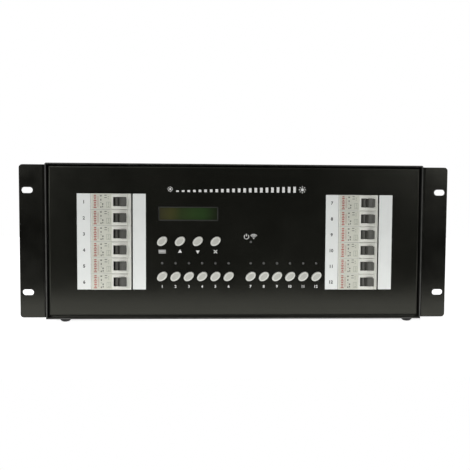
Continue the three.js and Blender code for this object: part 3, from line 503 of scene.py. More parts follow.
class Blank:
    """A piece being shaped, in millimetres from the case's front edge, underside and middle."""

    def __init__(self, name: str) -> None:
        """Start an empty piece.

        Args:
            name: The piece's name.
        """
        self.name = name
        self.mesh = bmesh.new()
        self.finishes: list[Finish] = []

    @classmethod
    def copied(cls, name: str, node: str, finish: Finish) -> "Blank":
        """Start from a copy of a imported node, merged and with its flat faces made whole.

        Args:
            name: The new piece's name.
            node: The node to copy.
            finish: Its main finish.

        Returns:
            The blank.
        """
        blank = cls(name)
        blank.mesh.from_mesh(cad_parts[node].data)
        bmesh.ops.scale(blank.mesh, vec=Vector((1, 1, 1)) / MM, verts=blank.mesh.verts)
        bmesh.ops.translate(blank.mesh, vec=-DATUM.shift(), verts=blank.mesh.verts)
        bmesh.ops.remove_doubles(blank.mesh, verts=blank.mesh.verts, dist=0.003)
        bmesh.ops.dissolve_limit(
            blank.mesh, angle_limit=math.radians(0.6), verts=blank.mesh.verts, edges=blank.mesh.edges
        )
        blank.paint(blank.mesh.faces, finish)
        return blank

    def numbered(self, finish: Finish) -> int:
        """Give the number of a finish on this piece.

        Args:
            finish: The finish, which is added if it is new.

        Returns:
            Its number.
        """
        if finish not in self.finishes:
            self.finishes.append(finish)
        return self.finishes.index(finish)

    def paint(self, faces: Iterable[bmesh.types.BMFace], finish: Finish) -> None:
        """Give faces a finish.

        Args:
            faces: The faces.
            finish: Their finish.
        """
        index = self.numbered(finish)
        for face in faces:
            face.material_index = index

    def paint_where(self, finish: Finish, chosen: Callable[[Vector, Vector], bool]) -> None:
        """Give a finish to the faces whose middle and normal pass a test."""
        self.mesh.normal_update()
        self.paint([f for f in self.mesh.faces if chosen(f.calc_center_median(), f.normal)], finish)

    def take(self, shape: bmesh.types.BMesh, finish: Finish, place: Matrix) -> None:
        """Finish a closed shape, move it to its place and join it to the piece.

        Args:
            shape: The shape, which is used up.
            finish: Its finish.
            place: From the shape's own measures to the case's.
        """
        bmesh.ops.transform(shape, matrix=place, verts=shape.verts)
        bmesh.ops.recalc_face_normals(shape, faces=shape.faces)
        self.paint(shape.faces, finish)
        loose = bpy.data.meshes.new("shape")
        shape.to_mesh(loose)
        shape.free()
        self.mesh.from_mesh(loose)
        bpy.data.meshes.remove(loose)

    def stand(
        self, shape: bmesh.types.BMesh, middle: Point, finish: Finish,
        way: Way = Way.FRONT, slope: float = 0.0,
    ) -> None:
        """Stand a raised shape on a surface, turned in its own plane by a slope in degrees."""
        self.take(shape, finish, Matrix.Translation(middle) @ (way.turn() @ turned(slope, "Z")))

    def block(self, low: Point, high: Point, finish: Finish) -> None:
        """Add a box.

        Args:
            low: Its left, front, lower corner.
            high: Its right, back, upper corner.
            finish: Its finish.
        """
        shape = bmesh.new()
        bmesh.ops.create_cube(shape, size=1)
        size = Vector(high) - Vector(low)
        self.take(shape, finish, Matrix.LocRotScale((Vector(high) + Vector(low)) / 2, None, size))

    def plate(
        self, middle: Point, width: float, height: float, rise: float, finish: Finish,
        corner: float = 0.0, edge: float = 0.0, way: Way = Way.FRONT, slope: float = 0.0,
    ) -> None:
        """Add a flat plate that stands out from a surface.

        Args:
            middle: Middle of the plate's back, on the surface.
            width: Size across.
            height: Size upright.
            rise: Thickness.
            finish: Its finish.
            corner: Radius of its corners.
            edge: Softening of the front edge.
            way: The way it faces.
            slope: Turn in its own plane, in degrees.
        """
        shape = rectangle(width, height, corner)
        raise_up(shape, rise, edge)
        self.stand(shape, middle, finish, way, slope)

    def disc(
        self, middle: Point, radius: float, rise: float, finish: Finish, edge: float = 0.0,
        way: Way = Way.FRONT, sides: int = 24, slope: float = 0.0,
    ) -> None:
        """Add a round boss that stands out from a surface.

        Args:
            middle: Middle of its back, on the surface.
            radius: Its radius.
            rise: Its height.
            finish: Its finish.
            edge: Softening of the front edge.
            way: The way it faces.
            sides: Facets round it.
            slope: Turn in its own plane, in degrees.
        """
        shape = ellipse(2 * radius, 2 * radius, sides)
        raise_up(shape, rise, edge, steps=3)
        self.stand(shape, middle, finish, way, slope)

    def screw(self, middle: Point, radius: float, way: Way, finish: Finish) -> None:
        """Add a pan-head screw with a cross on its head, the cross drawn as thin near-black plates: painted
        shade where a slot would be.

        Args:
            middle: Middle of the head's back, on the surface.
            radius: Radius of the head.
            way: The way it faces.
            finish: Its finish.
        """
        rise, edge = 0.55 * radius, 0.4 * radius
        length, width = 1.15 * radius, 0.28 * radius
        self.disc(middle, radius, rise, finish, edge, way)
        top = Vector(middle) + way.turn() @ Vector((0, 0, rise - 0.01))
        # The cross is two thin near-black plates: painted shade where a recessed slot would be.
        for slope in (0, 90):
            self.plate(tuple(top), length, width, 0.03, PAINTED_SHADE, way=way, slope=slope)

    def hoop(
        self, middle: Point, radius: float, tube: float, finish: Finish, turn: Matrix, steps: int, sides: int
    ) -> None:
        """Add a ring with a round section.

        Args:
            middle: Its middle.
            radius: From its middle to the middle of its section.
            tube: Radius of its section.
            finish: Its finish.
            turn: From an axis along Z to its own.
            steps: Steps round the ring.
            sides: Facets of its section.
        """
        shape = bmesh.new()
        bmesh.ops.create_circle(shape, radius=tube, segments=sides)
        upright = Matrix.Translation((radius, 0, 0)) @ turned(90, "X")
        bmesh.ops.transform(shape, matrix=upright, verts=shape.verts)
        spin(shape, [*shape.verts, *shape.edges], steps)
        self.take(shape, finish, Matrix.Translation(middle) @ turn)

    def lettering(
        self, text: str, middle: Point, height: float, finish: Finish, rise: float = 0.08,
        weight: float = 0.012,
    ) -> None:
        """Add plain numbers that face the front.

        Args:
            text: The numbers.
            middle: Middle of their back, on the surface.
            height: Height of a digit.
            finish: Their finish.
            rise: Thickness of the print.
            weight: How much bolder than plain, as a share of the height.
        """
        curve = bpy.data.curves.new("digits", "FONT")
        curve.body = text
        curve.size = height / DIGIT_SHARE
        curve.align_x = "CENTER"
        curve.align_y = "CENTER"
        curve.extrude = rise / 2
        curve.offset = weight * height
        curve.resolution_u = 3
        holder = link("digits", curve)
        bpy.context.view_layer.update()
        made = bpy.data.meshes.new_from_object(holder)
        before = len(self.mesh.verts)
        self.mesh.from_mesh(made)
        self.mesh.verts.ensure_lookup_table()
        verts = self.mesh.verts[before:]
        low = Vector([min(v.co[i] for v in verts) for i in range(3)])
        high = Vector([max(v.co[i] for v in verts) for i in range(3)])
        centre = Matrix.Translation(Vector((0, 0, rise / 2)) - (low + high) / 2)
        bmesh.ops.transform(self.mesh, matrix=centre, verts=verts)
        place = Matrix.Translation(middle) @ Way.FRONT.turn()
        bmesh.ops.transform(self.mesh, matrix=place, verts=verts)
        self.paint({face for vert in verts for face in vert.link_faces}, finish)
        bpy.data.objects.remove(holder)
        bpy.data.curves.remove(curve)
        bpy.data.meshes.remove(made)

    def soften(
        self, width: float, longer_than: float = 0.0, steps: int = 2,
        chosen: Callable[[bmesh.types.BMEdge], bool] = lambda edge: True,
    ) -> None:
        """Round the sharp edges a little, apart from those that meet an edge too short to round.

        Args:
            width: Width of the rounding.
            longer_than: Edges shorter than this stay sharp.
            steps: Segments across the rounding.
            chosen: A test that picks the edges.
        """
        self.mesh.normal_update()
        sharp = [
            edge for edge in self.mesh.edges
            if edge.is_manifold and edge.calc_length() > longer_than
            and edge.calc_face_angle(0) > SHARP_ANGLE and chosen(edge)
            and all(beside.calc_length() > 1.2 * width for vert in edge.verts for beside in vert.link_edges)
        ]
        round_off(self.mesh, sharp, width, steps, clamp=True)

    def deliver(self, body: str, slot: Slot, *nodes: str, smooth_below: float = 35.0) -> bpy.types.Object:
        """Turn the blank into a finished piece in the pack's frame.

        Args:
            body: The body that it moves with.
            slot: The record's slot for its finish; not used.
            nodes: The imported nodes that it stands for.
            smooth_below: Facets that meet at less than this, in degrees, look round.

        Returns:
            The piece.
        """
        bmesh.ops.translate(self.mesh, vec=DATUM.shift(), verts=self.mesh.verts)
        bmesh.ops.scale(self.mesh, vec=Vector((1, 1, 1)) * MM, verts=self.mesh.verts)
        data = bpy.data.meshes.new(self.name)
        self.mesh.to_mesh(data)
        self.mesh.free()
        for finish in self.finishes:
            data.materials.append(finish.material())
        data.shade_smooth()
        data.set_sharp_from_angle(angle=math.radians(smooth_below))
        made = link(self.name, data)
        made.modifiers.new("flat_faces_flat", "WEIGHTED_NORMAL").keep_sharp = True
        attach(made, body)
        if nodes:
            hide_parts(*nodes)
        LOG.info("%s rides on %s, %d faces", self.name, body, len(data.polygons))
        return made


# Case


@dataclass
class Case:
    """Sheet metal, feet and the screws that hold them together."""

    half: float = 213.0
    margin: float = 0.5
    ear_edge: float = 0.35
    ear_face: float = 215.3
    ear_screw: float = 3.6
    ear_screw_depth: float = 18.0
    ear_screw_heights: tuple[float, ...] = (22.0, 87.6, 153.0)
    side_screw: float = 3.0
    side_screw_depths: tuple[float, ...] = (70.0, 185.0, 345.0)
    side_screw_height: float = 8.0
    foot_steps: int = 40
    foot_profile: tuple[tuple[float, float], ...] = (
        (6.8, 0.0), (6.8, 1.3), (6.6, 2.5), (6.15, 3.6), (5.5, 4.5), (4.8, 5.2), (4.0, 5.75), (3.2, 6.0),
    )

    def build(self) -> None:
        """Build the case's pieces."""
        self.build_sheets()
        self.build_feet()
        self.build_screws()

    def is_front_edge(self, middle: Vector, normal: Vector) -> bool:
        """Tell whether a face is the cut edge of a sheet at the case's front."""
        return normal.y < -0.9 and middle.y < self.margin and abs(middle.x) < self.half + self.margin

    def build_sheets(self) -> None:
        """Paint the sheets, with lighter paint on their front edges as a painted highlight, and the panel,
        with duller bends.
        """
        paints = {
            "chassis_tray": COVER_PAINT, "top_cover": COVER_PAINT,
            "rack_ear_left": CASE_PAINT, "rack_ear_right": CASE_PAINT,
        }
        for node, paint in paints.items():
            sheet = Blank.copied(node + "_painted", node, paint)
            # The front edges get lighter paint: a painted highlight.
            sheet.paint_where(EDGE_PAINTED_HIGHLIGHT, self.is_front_edge)
            if paint is CASE_PAINT:
                sheet.soften(self.ear_edge, longer_than=2.5)
            sheet.deliver("case", Slot.CASE, node, smooth_below=20)
        panel = Blank.copied("front_panel_painted", "front_panel", PANEL_PAINT)
        panel.paint_where(BEND_PAINT, lambda middle, normal: -0.999 < normal.y < -0.02)
        panel.deliver("case", Slot.PANEL, "front_panel", smooth_below=20)

    def build_feet(self) -> None:
        """Turn the four feet from their profile of radius and depth."""
        for node in ("foot_front_left", "foot_front_right", "foot_rear_left", "foot_rear_right"):
            low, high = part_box(node)
            middle = ((low + high) / 2) / MM - DATUM.shift()
            shape = bmesh.new()
            corners = [(0.0, 0.0), *self.foot_profile, (0.0, self.foot_profile[-1][1])]
            points = [shape.verts.new((radius, 0, -depth)) for radius, depth in corners]
            lines = [shape.edges.new(pair) for pair in zip(points, points[1:])]
            spin(shape, [*points, *lines], self.foot_steps)
            bmesh.ops.remove_doubles(shape, verts=shape.verts, dist=0.001)
            foot = Blank(node + "_turned")
            top = high.z / MM - DATUM.bottom
            foot.take(shape, RUBBER, Matrix.Translation((middle.x, middle.y, top)))
            foot.deliver("case", Slot.RUBBER, node)

    def build_screws(self) -> None:
        """Add the screws of the ears and of the cover's sides."""
        screws = Blank("case_screws")
        for side, way in ((Side.LEFT, Way.LEFT), (Side.RIGHT, Way.RIGHT)):
            for height in self.ear_screw_heights:
                place = (side.value * self.ear_face, self.ear_screw_depth, height)
                screws.screw(place, self.ear_screw, way, SCREW_STEEL)
            for depth in self.side_screw_depths:
                place = (side.value * self.half, depth, self.side_screw_height)
                screws.screw(place, self.side_screw, way, SCREW_STEEL)
        screws.deliver("case", Slot.CASE)


# Breakers


@dataclass
class Breakers:
    """Two columns of breakers with their print, toggles and number labels."""

    column: float = 139.65
    nose_shift: float = -0.5
    nose_width: float = 44.8
    nose_height: float = 17.7
    pitch: float = 18.0
    middle: float = 87.5
    rows: int = 6
    axis_offset: float = 10.0
    axis_depth: float = 4.2
    drum_radius: float = 6.6
    drum_half: float = 4.7
    drum_steps: int = 40
    groove_lip: float = 45.0
    lever_outline: tuple[tuple[float, float], ...] = (
        (-2.6, -2.9), (-1.9, -3.0), (-2.2, -7.6), (0.3, -10.75), (3.6, -11.95),
    )
    lean: float = 21.0
    trunnion_radius: float = 1.2
    trunnion_half: float = 6.3
    toggle_edge: float = 0.4
    collar_front: float = -1.2
    collar_edge: float = 0.8
    moulding_edge: float = 0.35
    pocket_half: float = 6.0
    pocket_span: tuple[float, float] = (2.5, 17.5)
    pocket_depths: tuple[float, float] = (-1.1, 12.0)
    film_inset: float = 0.9
    film_width: float = 22.2
    film_margin: float = 1.0
    film_back: float = 0.03
    film_rise: float = 0.06
    tick_back: float = -0.02
    tick_rise: float = 0.04
    label_bottom: float = 33.65
    label_height: float = 107.75
    label_spans: tuple[tuple[tuple[float, float], ...], ...] = (
        ((-177.95, -162.85), (-116.0, -101.5)), ((101.9, 116.45), (163.1, 178.2)),
    )
    label_back: float = 1.04
    label_rise: float = 0.16
    digit_places: tuple[float, float] = (-170.35, 108.95)
    digit_height: float = 3.6
    digit_drop: float = 0.4
    digit_back: float = 0.89

    def build(self) -> None:
        """Build both columns."""
        for side, first in ((Side.LEFT, 1), (Side.RIGHT, 7)):
            for row, height in enumerate(self.heights()):
                self.build_breaker(side.value * self.column + self.nose_shift, height, first + row)
            self.build_labels(side, first)
        for node in ("din_rail_left", "din_rail_right"):
            rail = Blank.copied(node + "_plated", node, ZINC)
            rail.soften(0.2, longer_than=2)
            rail.deliver("case", Slot.ZINC, node)

    def heights(self) -> list[float]:
        """Give the heights of a column's breakers, from the top down."""
        return spaced(self.middle, self.rows, -self.pitch)

    def build_breaker(self, x: float, z: float, number: int) -> None:
        """Build one breaker's moulding, print and toggle.

        Args:
            x: Middle of its nose.
            z: Its height.
            number: Its channel.
        """
        left, right = self.pocket_span
        front, back = self.pocket_depths
        moulding = Blank.copied(f"breaker_{number}_moulded", f"breaker_{number}", BREAKER_PLASTIC)
        # The toggle pocket's faces are painted near-black: painted shade inside the pocket.
        moulding.paint_where(
            PAINTED_SHADE,
            lambda middle, _: abs(middle.z - z) < self.pocket_half
            and left < middle.x - x < right and front < middle.y < back,
        )
        moulding.soften(self.collar_edge, longer_than=6, steps=3, chosen=self.is_collar_rim)
        moulding.soften(self.moulding_edge, longer_than=1.5)
        moulding.deliver("case", Slot.BREAKER, f"breaker_{number}")
        self.build_print(x - self.nose_width / 2, z, number)
        self.build_toggle(x + self.axis_offset, z, number)

    def is_collar_rim(self, edge: bmesh.types.BMEdge) -> bool:
        """Tell whether an edge is the upper or lower rim of the collar's front.

        Args:
            edge: An edge of a breaker.

        Returns:
            Whether it is.
        """
        ends = [vert.co for vert in edge.verts]
        level = abs(ends[0].z - ends[1].z) < 0.01
        outer = any(abs(face.normal.z) > 0.9 and face.calc_area() > 200 for face in edge.link_faces)
        return level and outer and all(abs(end.y - self.collar_front) < 0.01 for end in ends)

    def build_print(self, left: float, z: float, number: int) -> None:
        """Print one breaker's nose: a film, a column of red ticks, and grey ticks and frames.

        Args:
            left: Left edge of the nose.
            z: Its height.
            number: Its channel.
        """
        sheet = Blank(f"breaker_{number}_print")
        place = (left + self.film_inset + self.film_width / 2, self.film_back, z)
        height = self.nose_height - self.film_margin
        sheet.plate(place, self.film_width, height, self.film_rise, BREAKER_FILM, corner=0.4)

        def ticks(across: float, finish: Finish, rows: Iterable[tuple[float, float, float]]) -> None:
            """Print ticks of a width and height, each at its own height above the middle."""
            for up, width, height in rows:
                sheet.plate((left + across, self.tick_back, z + up), width, height, self.tick_rise, finish)

        ticks(4.9, RED_PRINT, [((i - 3.5) * 1.95, (3.3, 2.1, 2.9, 2.5)[i % 4], 1.05) for i in range(8)])
        ticks(8.2, ROSE_PRINT, [((i - 5.5) * 0.95, (1.7, 1.3, 1.8)[i % 3], 0.4) for i in range(12)])
        ticks(11.4, GREY_PRINT, [(6.3, 1.9, 1.3), (2.0, 1.1, 2.1), (-1.3, 1.3, 0.5), (-6.2, 1.2, 1.6)])
        ticks(13.4, GREY_PRINT, [(-2.8, 1.5, 1.5), (-5.6, 1.0, 1.9)])
        ticks(16.6, GREY_PRINT, [(7.0, 2.6, 0.8), (4.4, 2.9, 0.7)])
        ticks(19.6, FAINT_PRINT, [(5.5, 1.2, 1.0), (3.2, 1.0, 1.0), (-0.6, 4.4, 0.4), (-6.6, 4.4, 0.4)])
        ticks(17.6, FAINT_PRINT, [(-3.6, 0.4, 5.6)])
        ticks(19.8, FAINT_PRINT, [(-2.6, 0.5, 3.4), (-5.6, 1.6, 0.9)])
        ticks(21.7, FAINT_PRINT, [(-3.6, 0.4, 5.6)])
        sheet.deliver("case", Slot.BREAKER)

    def toggle_section(self) -> bmesh.types.BMesh:
        """Draw a toggle's section, flat, with its axis at the origin and its lever towards -y.

        Returns:
            The flat shape: most of the drum's circle, the groove's foot and the lever's corners.
        """
        shape = bmesh.new()
        begin = -math.acos(self.lever_outline[-1][0] / self.drum_radius)
        sweep = math.radians(270 - self.groove_lip) - begin
        first = shape.verts.new((self.drum_radius * math.cos(begin), self.drum_radius * math.sin(begin), 0))
        drum = spin(shape, [first], self.drum_steps, sweep)
        corners = [shape.verts.new((across, ahead, 0)) for across, ahead in self.lever_outline]
        chain = [*drum["geom_last"], *corners, first]
        for pair in zip(chain, chain[1:]):
            shape.edges.new(pair)
        bmesh.ops.contextual_create(shape, geom=shape.edges[:])
        return shape

    def build_toggle(self, x: float, z: float, number: int) -> None:
        """Build a toggle: drum and lever in one, with a groove between them, and trunnions.

        Args:
            x: Its axis.
            z: Its height.
            number: Its channel.
        """
        toggle = Blank(f"toggle_{number}_moulded")
        axis = Vector((x, self.axis_depth, z))
        shape = self.toggle_section()
        raise_up(shape, 2 * self.drum_half)
        shape.normal_update()
        sharp = [edge for edge in shape.edges if edge.calc_face_angle(0) > math.radians(25)]
        round_off(shape, sharp, self.toggle_edge, steps=3, clamp=True)
        low = Matrix.Translation(axis - Vector((0, 0, self.drum_half)))
        toggle.take(shape, TOGGLE_PLASTIC, low @ turned(self.lean, "Z"))
        pin = ellipse(2 * self.trunnion_radius, 2 * self.trunnion_radius, sides=16)
        raise_up(pin, 2 * self.trunnion_half)
        toggle.take(pin, TOGGLE_PLASTIC, Matrix.Translation(axis - Vector((0, 0, self.trunnion_half))))
        toggle.deliver(f"toggle_{number}", Slot.TOGGLE, f"toggle_{number}", smooth_below=50)

    def build_labels(self, side: Side, first: int) -> None:
        """Stick a numbered strip on the left of a column and a blank one on its right.

        Args:
            side: The column's side.
            first: The column's first channel.
        """
        strips = Blank("label_strips_" + side.name.lower())
        column = 0 if side is Side.LEFT else 1
        for low, high in self.label_spans[column]:
            place = ((low + high) / 2, self.label_back, self.label_bottom + self.label_height / 2)
            strips.plate(place, high - low, self.label_height, self.label_rise, LABEL, corner=0.3, edge=0.05)
        for row, height in enumerate(self.heights()):
            place = (self.digit_places[column], self.digit_back, height - self.digit_drop)
            strips.lettering(str(first + row), place, self.digit_height, INK, rise=0.04, weight=0.05)
        strips.deliver("case", Slot.BREAKER)


# Controls


@dataclass
class Controls:
    """Keys, lamps, display and the white print round them."""

    first_x: float = -83.2
    pitch: float = 15.0
    group_step: float = 100.0
    menu_pitch: float = 20.0
    channel_z: float = 48.5
    menu_z: float = 88.3
    board_face: float = 11.9
    cap_length: float = 12.7
    cap_width: float = 8.7
    cap_tilt: float = 38.5
    cap_front: float = -2.0
    cap_back: float = 3.6
    cap_edge: float = 1.1
    cap_sides: int = 48
    dish_rim: float = 0.1
    dish_slope: float = 0.45
    dish_depth: float = 0.25
    rim_front: float = 2.8
    rim_back: float = 4.0
    rim_reach: float = 1.0
    lamp_z: float = 63.4
    power_lamp: tuple[float, float] = (16.8, 87.7)
    lens_radius: float = 1.5
    lens_back: float = 3.4
    lens_rise: float = 2.2
    lens_edge: float = 0.9
    display: tuple[float, float] = (-53.95, 119.25)
    display_board: float = 9.7
    glass: tuple[float, float] = (65.0, 13.6)
    glass_back: float = 3.4
    glass_rise: float = 0.5
    print_back: float = 1.02
    print_rise: float = 0.06
    number_z: float = 37.05
    number_height: float = 3.2
    sign_z: float = 76.55
    line_step: float = 1.5
    line_size: tuple[float, float] = (8.0, 0.7)
    arrow_radius: float = 2.5
    cross_size: tuple[float, float] = (5.2, 0.85)
    power_sign: tuple[float, float] = (11.8, 93.6)
    power_radius: float = 2.6
    power_stroke: float = 0.65
    power_bar: tuple[float, float] = (1.9, 3.2)
    signal_foot: tuple[float, float] = (20.0, 91.7)
    signal_radii: tuple[float, ...] = (1.9, 3.3, 4.7)
    signal_stroke: float = 0.6
    scale_base: float = 143.6
    scale_start: float = -66.0
    scale_length: float = 132.0
    bars: int = 22
    bar_width: float = 3.0
    bar_heights: tuple[float, float] = (1.6, 6.8)
    ray_width: float = 0.85

    def build(self) -> None:
        """Build the controls."""
        for index, x in enumerate(self.channel_places()):
            self.build_key(f"channel_key_{index + 1}", x, self.channel_z)
        for index, x in enumerate(self.menu_places()):
            self.build_key(f"menu_key_{index + 1}", x, self.menu_z)
        self.build_lamps()
        self.build_display()
        self.build_numbers()
        self.build_signs()
        self.build_title()
        board = Blank.copied("control_board_soldered", "control_board", CIRCUIT_BOARD)
        board.paint_where(BLACK_PLASTIC, lambda middle, _: middle.y < self.board_face)
        board.deliver("case", Slot.BOARD, "control_board")

    def channel_places(self) -> list[float]:
        """Give the channel keys' middles along x."""
        starts = (self.first_x, self.first_x + self.group_step)
        return [start + key * self.pitch for start in starts for key in range(6)]

    def menu_places(self) -> list[float]:
        """Give the menu keys' middles along x."""
        return [self.first_x + key * self.menu_pitch for key in range(4)]

    def build_key(self, node: str, x: float, z: float) -> None:
        """Build a tilted oval cap with a soft edge, a shallow dish and the rim behind the panel.

        Args:
            node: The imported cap.
            x: Its middle.
            z: Its height.
        """
        cap = Blank(node + "_moulded")
        shape = ellipse(self.cap_length, self.cap_width, self.cap_sides)
        rise = self.cap_back - self.cap_front
        raise_up(shape, rise, self.cap_edge, steps=5)
        face = [f for f in shape.faces if all(abs(v.co.z - rise) < 1e-4 for v in f.verts)]
        for width, depth in ((self.dish_rim, 0), (self.dish_slope, -self.dish_depth)):
            bmesh.ops.inset_region(shape, faces=face, thickness=width, depth=depth, use_even_offset=True)
        cap.stand(shape, (x, self.cap_back, z), KEY_PLASTIC, slope=self.cap_tilt)
        # The cap's flat face is painted darker than its rim.
        cap.paint_where(KEY_FACE, lambda middle, normal: normal.y < -0.99 and middle.y > self.cap_front + 0.1)
        length, width = (size + 2 * self.rim_reach for size in (self.cap_length, self.cap_width))
        rim = ellipse(length, width, self.cap_sides)
        raise_up(rim, self.rim_back - self.rim_front, edge=0.2)
        cap.stand(rim, (x, self.rim_back, z), KEY_PLASTIC, slope=self.cap_tilt)
        cap.deliver(node, Slot.KEY, node, smooth_below=50)

    def build_lamps(self) -> None:
        """Put a small domed lens over each lamp on the board."""
        lenses = Blank("lamp_lenses")
        places = [(x, self.lamp_z) for x in self.channel_places()] + [self.power_lamp]
        for x, z in places:
            lenses.disc((x, self.lens_back, z), self.lens_radius, self.lens_rise, LENS, self.lens_edge)
        lenses.deliver("case", Slot.BOARD, smooth_below=60)

    def build_display(self) -> None:
        """Frame the display and lay its glass in the frame."""
        module = Blank.copied("display_module_framed", "display_module", BEZEL)
        module.paint_where(CIRCUIT_BOARD, lambda middle, _: middle.y > self.display_board)
        module.soften(0.2, longer_than=2)
        module.deliver("case", Slot.DISPLAY, "display_module")
        glass = Blank("display_glass")
        x, z = self.display
        glass.plate((x, self.glass_back, z), *self.glass, self.glass_rise, GLASS, corner=0.4, edge=0.15)
        glass.deliver("case", Slot.DISPLAY)

    def build_numbers(self) -> None:
        """Print the channel numbers under the keys."""
        numbers = Blank("channel_numbers")
        for index, x in enumerate(self.channel_places()):
            place = (x, self.print_back, self.number_z)
            numbers.lettering(
                str(index + 1), place, self.number_height, WHITE_PRINT, rise=self.print_rise, weight=0.03
            )
        numbers.deliver("case", Slot.PANEL)

    def stroke(
        self, sheet: Blank, x: float, z: float, width: float, height: float,
        corner: float = 0.0, slope: float = 0.0,
    ) -> None:
        """Print a straight stroke on the panel.

        Args:
            sheet: The print.
            x: Its middle.
            z: Its height.
            width: Size across.
            height: Size upright.
            corner: Radius of its corners.
            slope: Turn in its own plane, in degrees.
        """
        place = (x, self.print_back, z)
        sheet.plate(place, width, height, self.print_rise, WHITE_PRINT, corner=corner, slope=slope)

    def arc(
        self, sheet: Blank, x: float, z: float, radius: float, width: float, start: float, end: float
    ) -> None:
        """Print a curved stroke on the panel.

        Args:
            sheet: The print.
            x: Middle of its circle.
            z: Height of that middle.
            radius: Radius along the middle of the stroke.
            width: Width of the stroke.
            start: Where it starts, in degrees.
            end: Where it ends.
        """
        shape = bmesh.new()
        ends = [shape.verts.new((radius + step * width / 2, 0, 0)) for step in (-1, 1)]
        line = shape.edges.new(ends)
        bmesh.ops.rotate(shape, matrix=turned(start, "Z").to_3x3(), verts=ends)
        steps = max(4, round(abs(end - start) / 18))
        spin(shape, [*ends, line], steps, math.radians(end - start))
        raise_up(shape, self.print_rise)
        sheet.stand(shape, (x, self.print_back, z), WHITE_PRINT)

    def spot(
        self, sheet: Blank, x: float, z: float, radius: float, sides: int = 24, slope: float = 0.0
    ) -> None:
        """Print a round or even-sided spot on the panel.

        Args:
            sheet: The print.
            x: Its middle.
            z: Its height.
            radius: Its radius.
            sides: Sides round it.
            slope: Turn in its own plane, in degrees.
        """
        place = (x, self.print_back, z)
        sheet.disc(place, radius, self.print_rise, WHITE_PRINT, sides=sides, slope=slope)

    def build_signs(self) -> None:
        """Print plain signs under the menu keys and over the power lamp."""
        signs = Blank("key_signs")
        lines, up, down, cross = self.menu_places()
        for line in (-1, 0, 1):
            self.stroke(signs, lines, self.sign_z + line * self.line_step, *self.line_size)
        for x, slope in ((up, 0), (down, 180)):
            self.spot(signs, x, self.sign_z, self.arrow_radius, sides=3, slope=slope)
        for slope in (45, -45):
            self.stroke(signs, cross, self.sign_z, *self.cross_size, slope=slope)
        self.sign_power(signs)
        signs.deliver("case", Slot.PANEL)

    def sign_power(self, signs: Blank) -> None:
        """Print a power sign, with three signal arcs beside it.

        Args:
            signs: The print.
        """
        x, z = self.power_sign
        up, height = self.power_bar
        self.arc(signs, x, z, self.power_radius, self.power_stroke, start=125, end=415)
        self.stroke(signs, x, z + up, self.power_stroke, height)
        x, z = self.signal_foot
        self.spot(signs, x, z, self.signal_stroke, sides=16)
        for radius in self.signal_radii:
            self.arc(signs, x, z, radius, self.signal_stroke, start=40, end=140)

    def build_title(self) -> None:
        """Print a row of bars that grow from a small sun to a large one, for dim to bright."""
        title = Blank("brightness_scale")
        self.sun(title, -74.2, self.scale_base + 3.2, disc=1.1, inner=1.9, outer=2.9)
        self.sun(title, 74.8, self.scale_base + 3.4, disc=1.7, inner=2.6, outer=4.0)
        low, high = self.bar_heights
        for bar in range(self.bars):
            height = low + (high - low) * (bar + 1) / self.bars
            x = self.scale_start + bar * self.scale_length / (self.bars - 1)
            self.stroke(title, x, self.scale_base + height / 2, self.bar_width, height, corner=0.3)
        title.deliver("case", Slot.PANEL)

    def sun(self, title: Blank, x: float, z: float, disc: float, inner: float, outer: float) -> None:
        """Print a plain sun: a disc with eight rays.

        Args:
            title: The print.
            x: Its middle.
            z: Its height.
            disc: Radius of the disc.
            inner: Where the rays start.
            outer: Where they end.
        """
        self.spot(title, x, z, disc)
        reach = (inner + outer) / 2
        for slope in range(0, 360, 45):
            across = reach * math.cos(math.radians(slope))
            up = reach * math.sin(math.radians(slope))
            self.stroke(title, x + across, z + up, outer - inner, self.ray_width, slope=slope)


# Rear wall


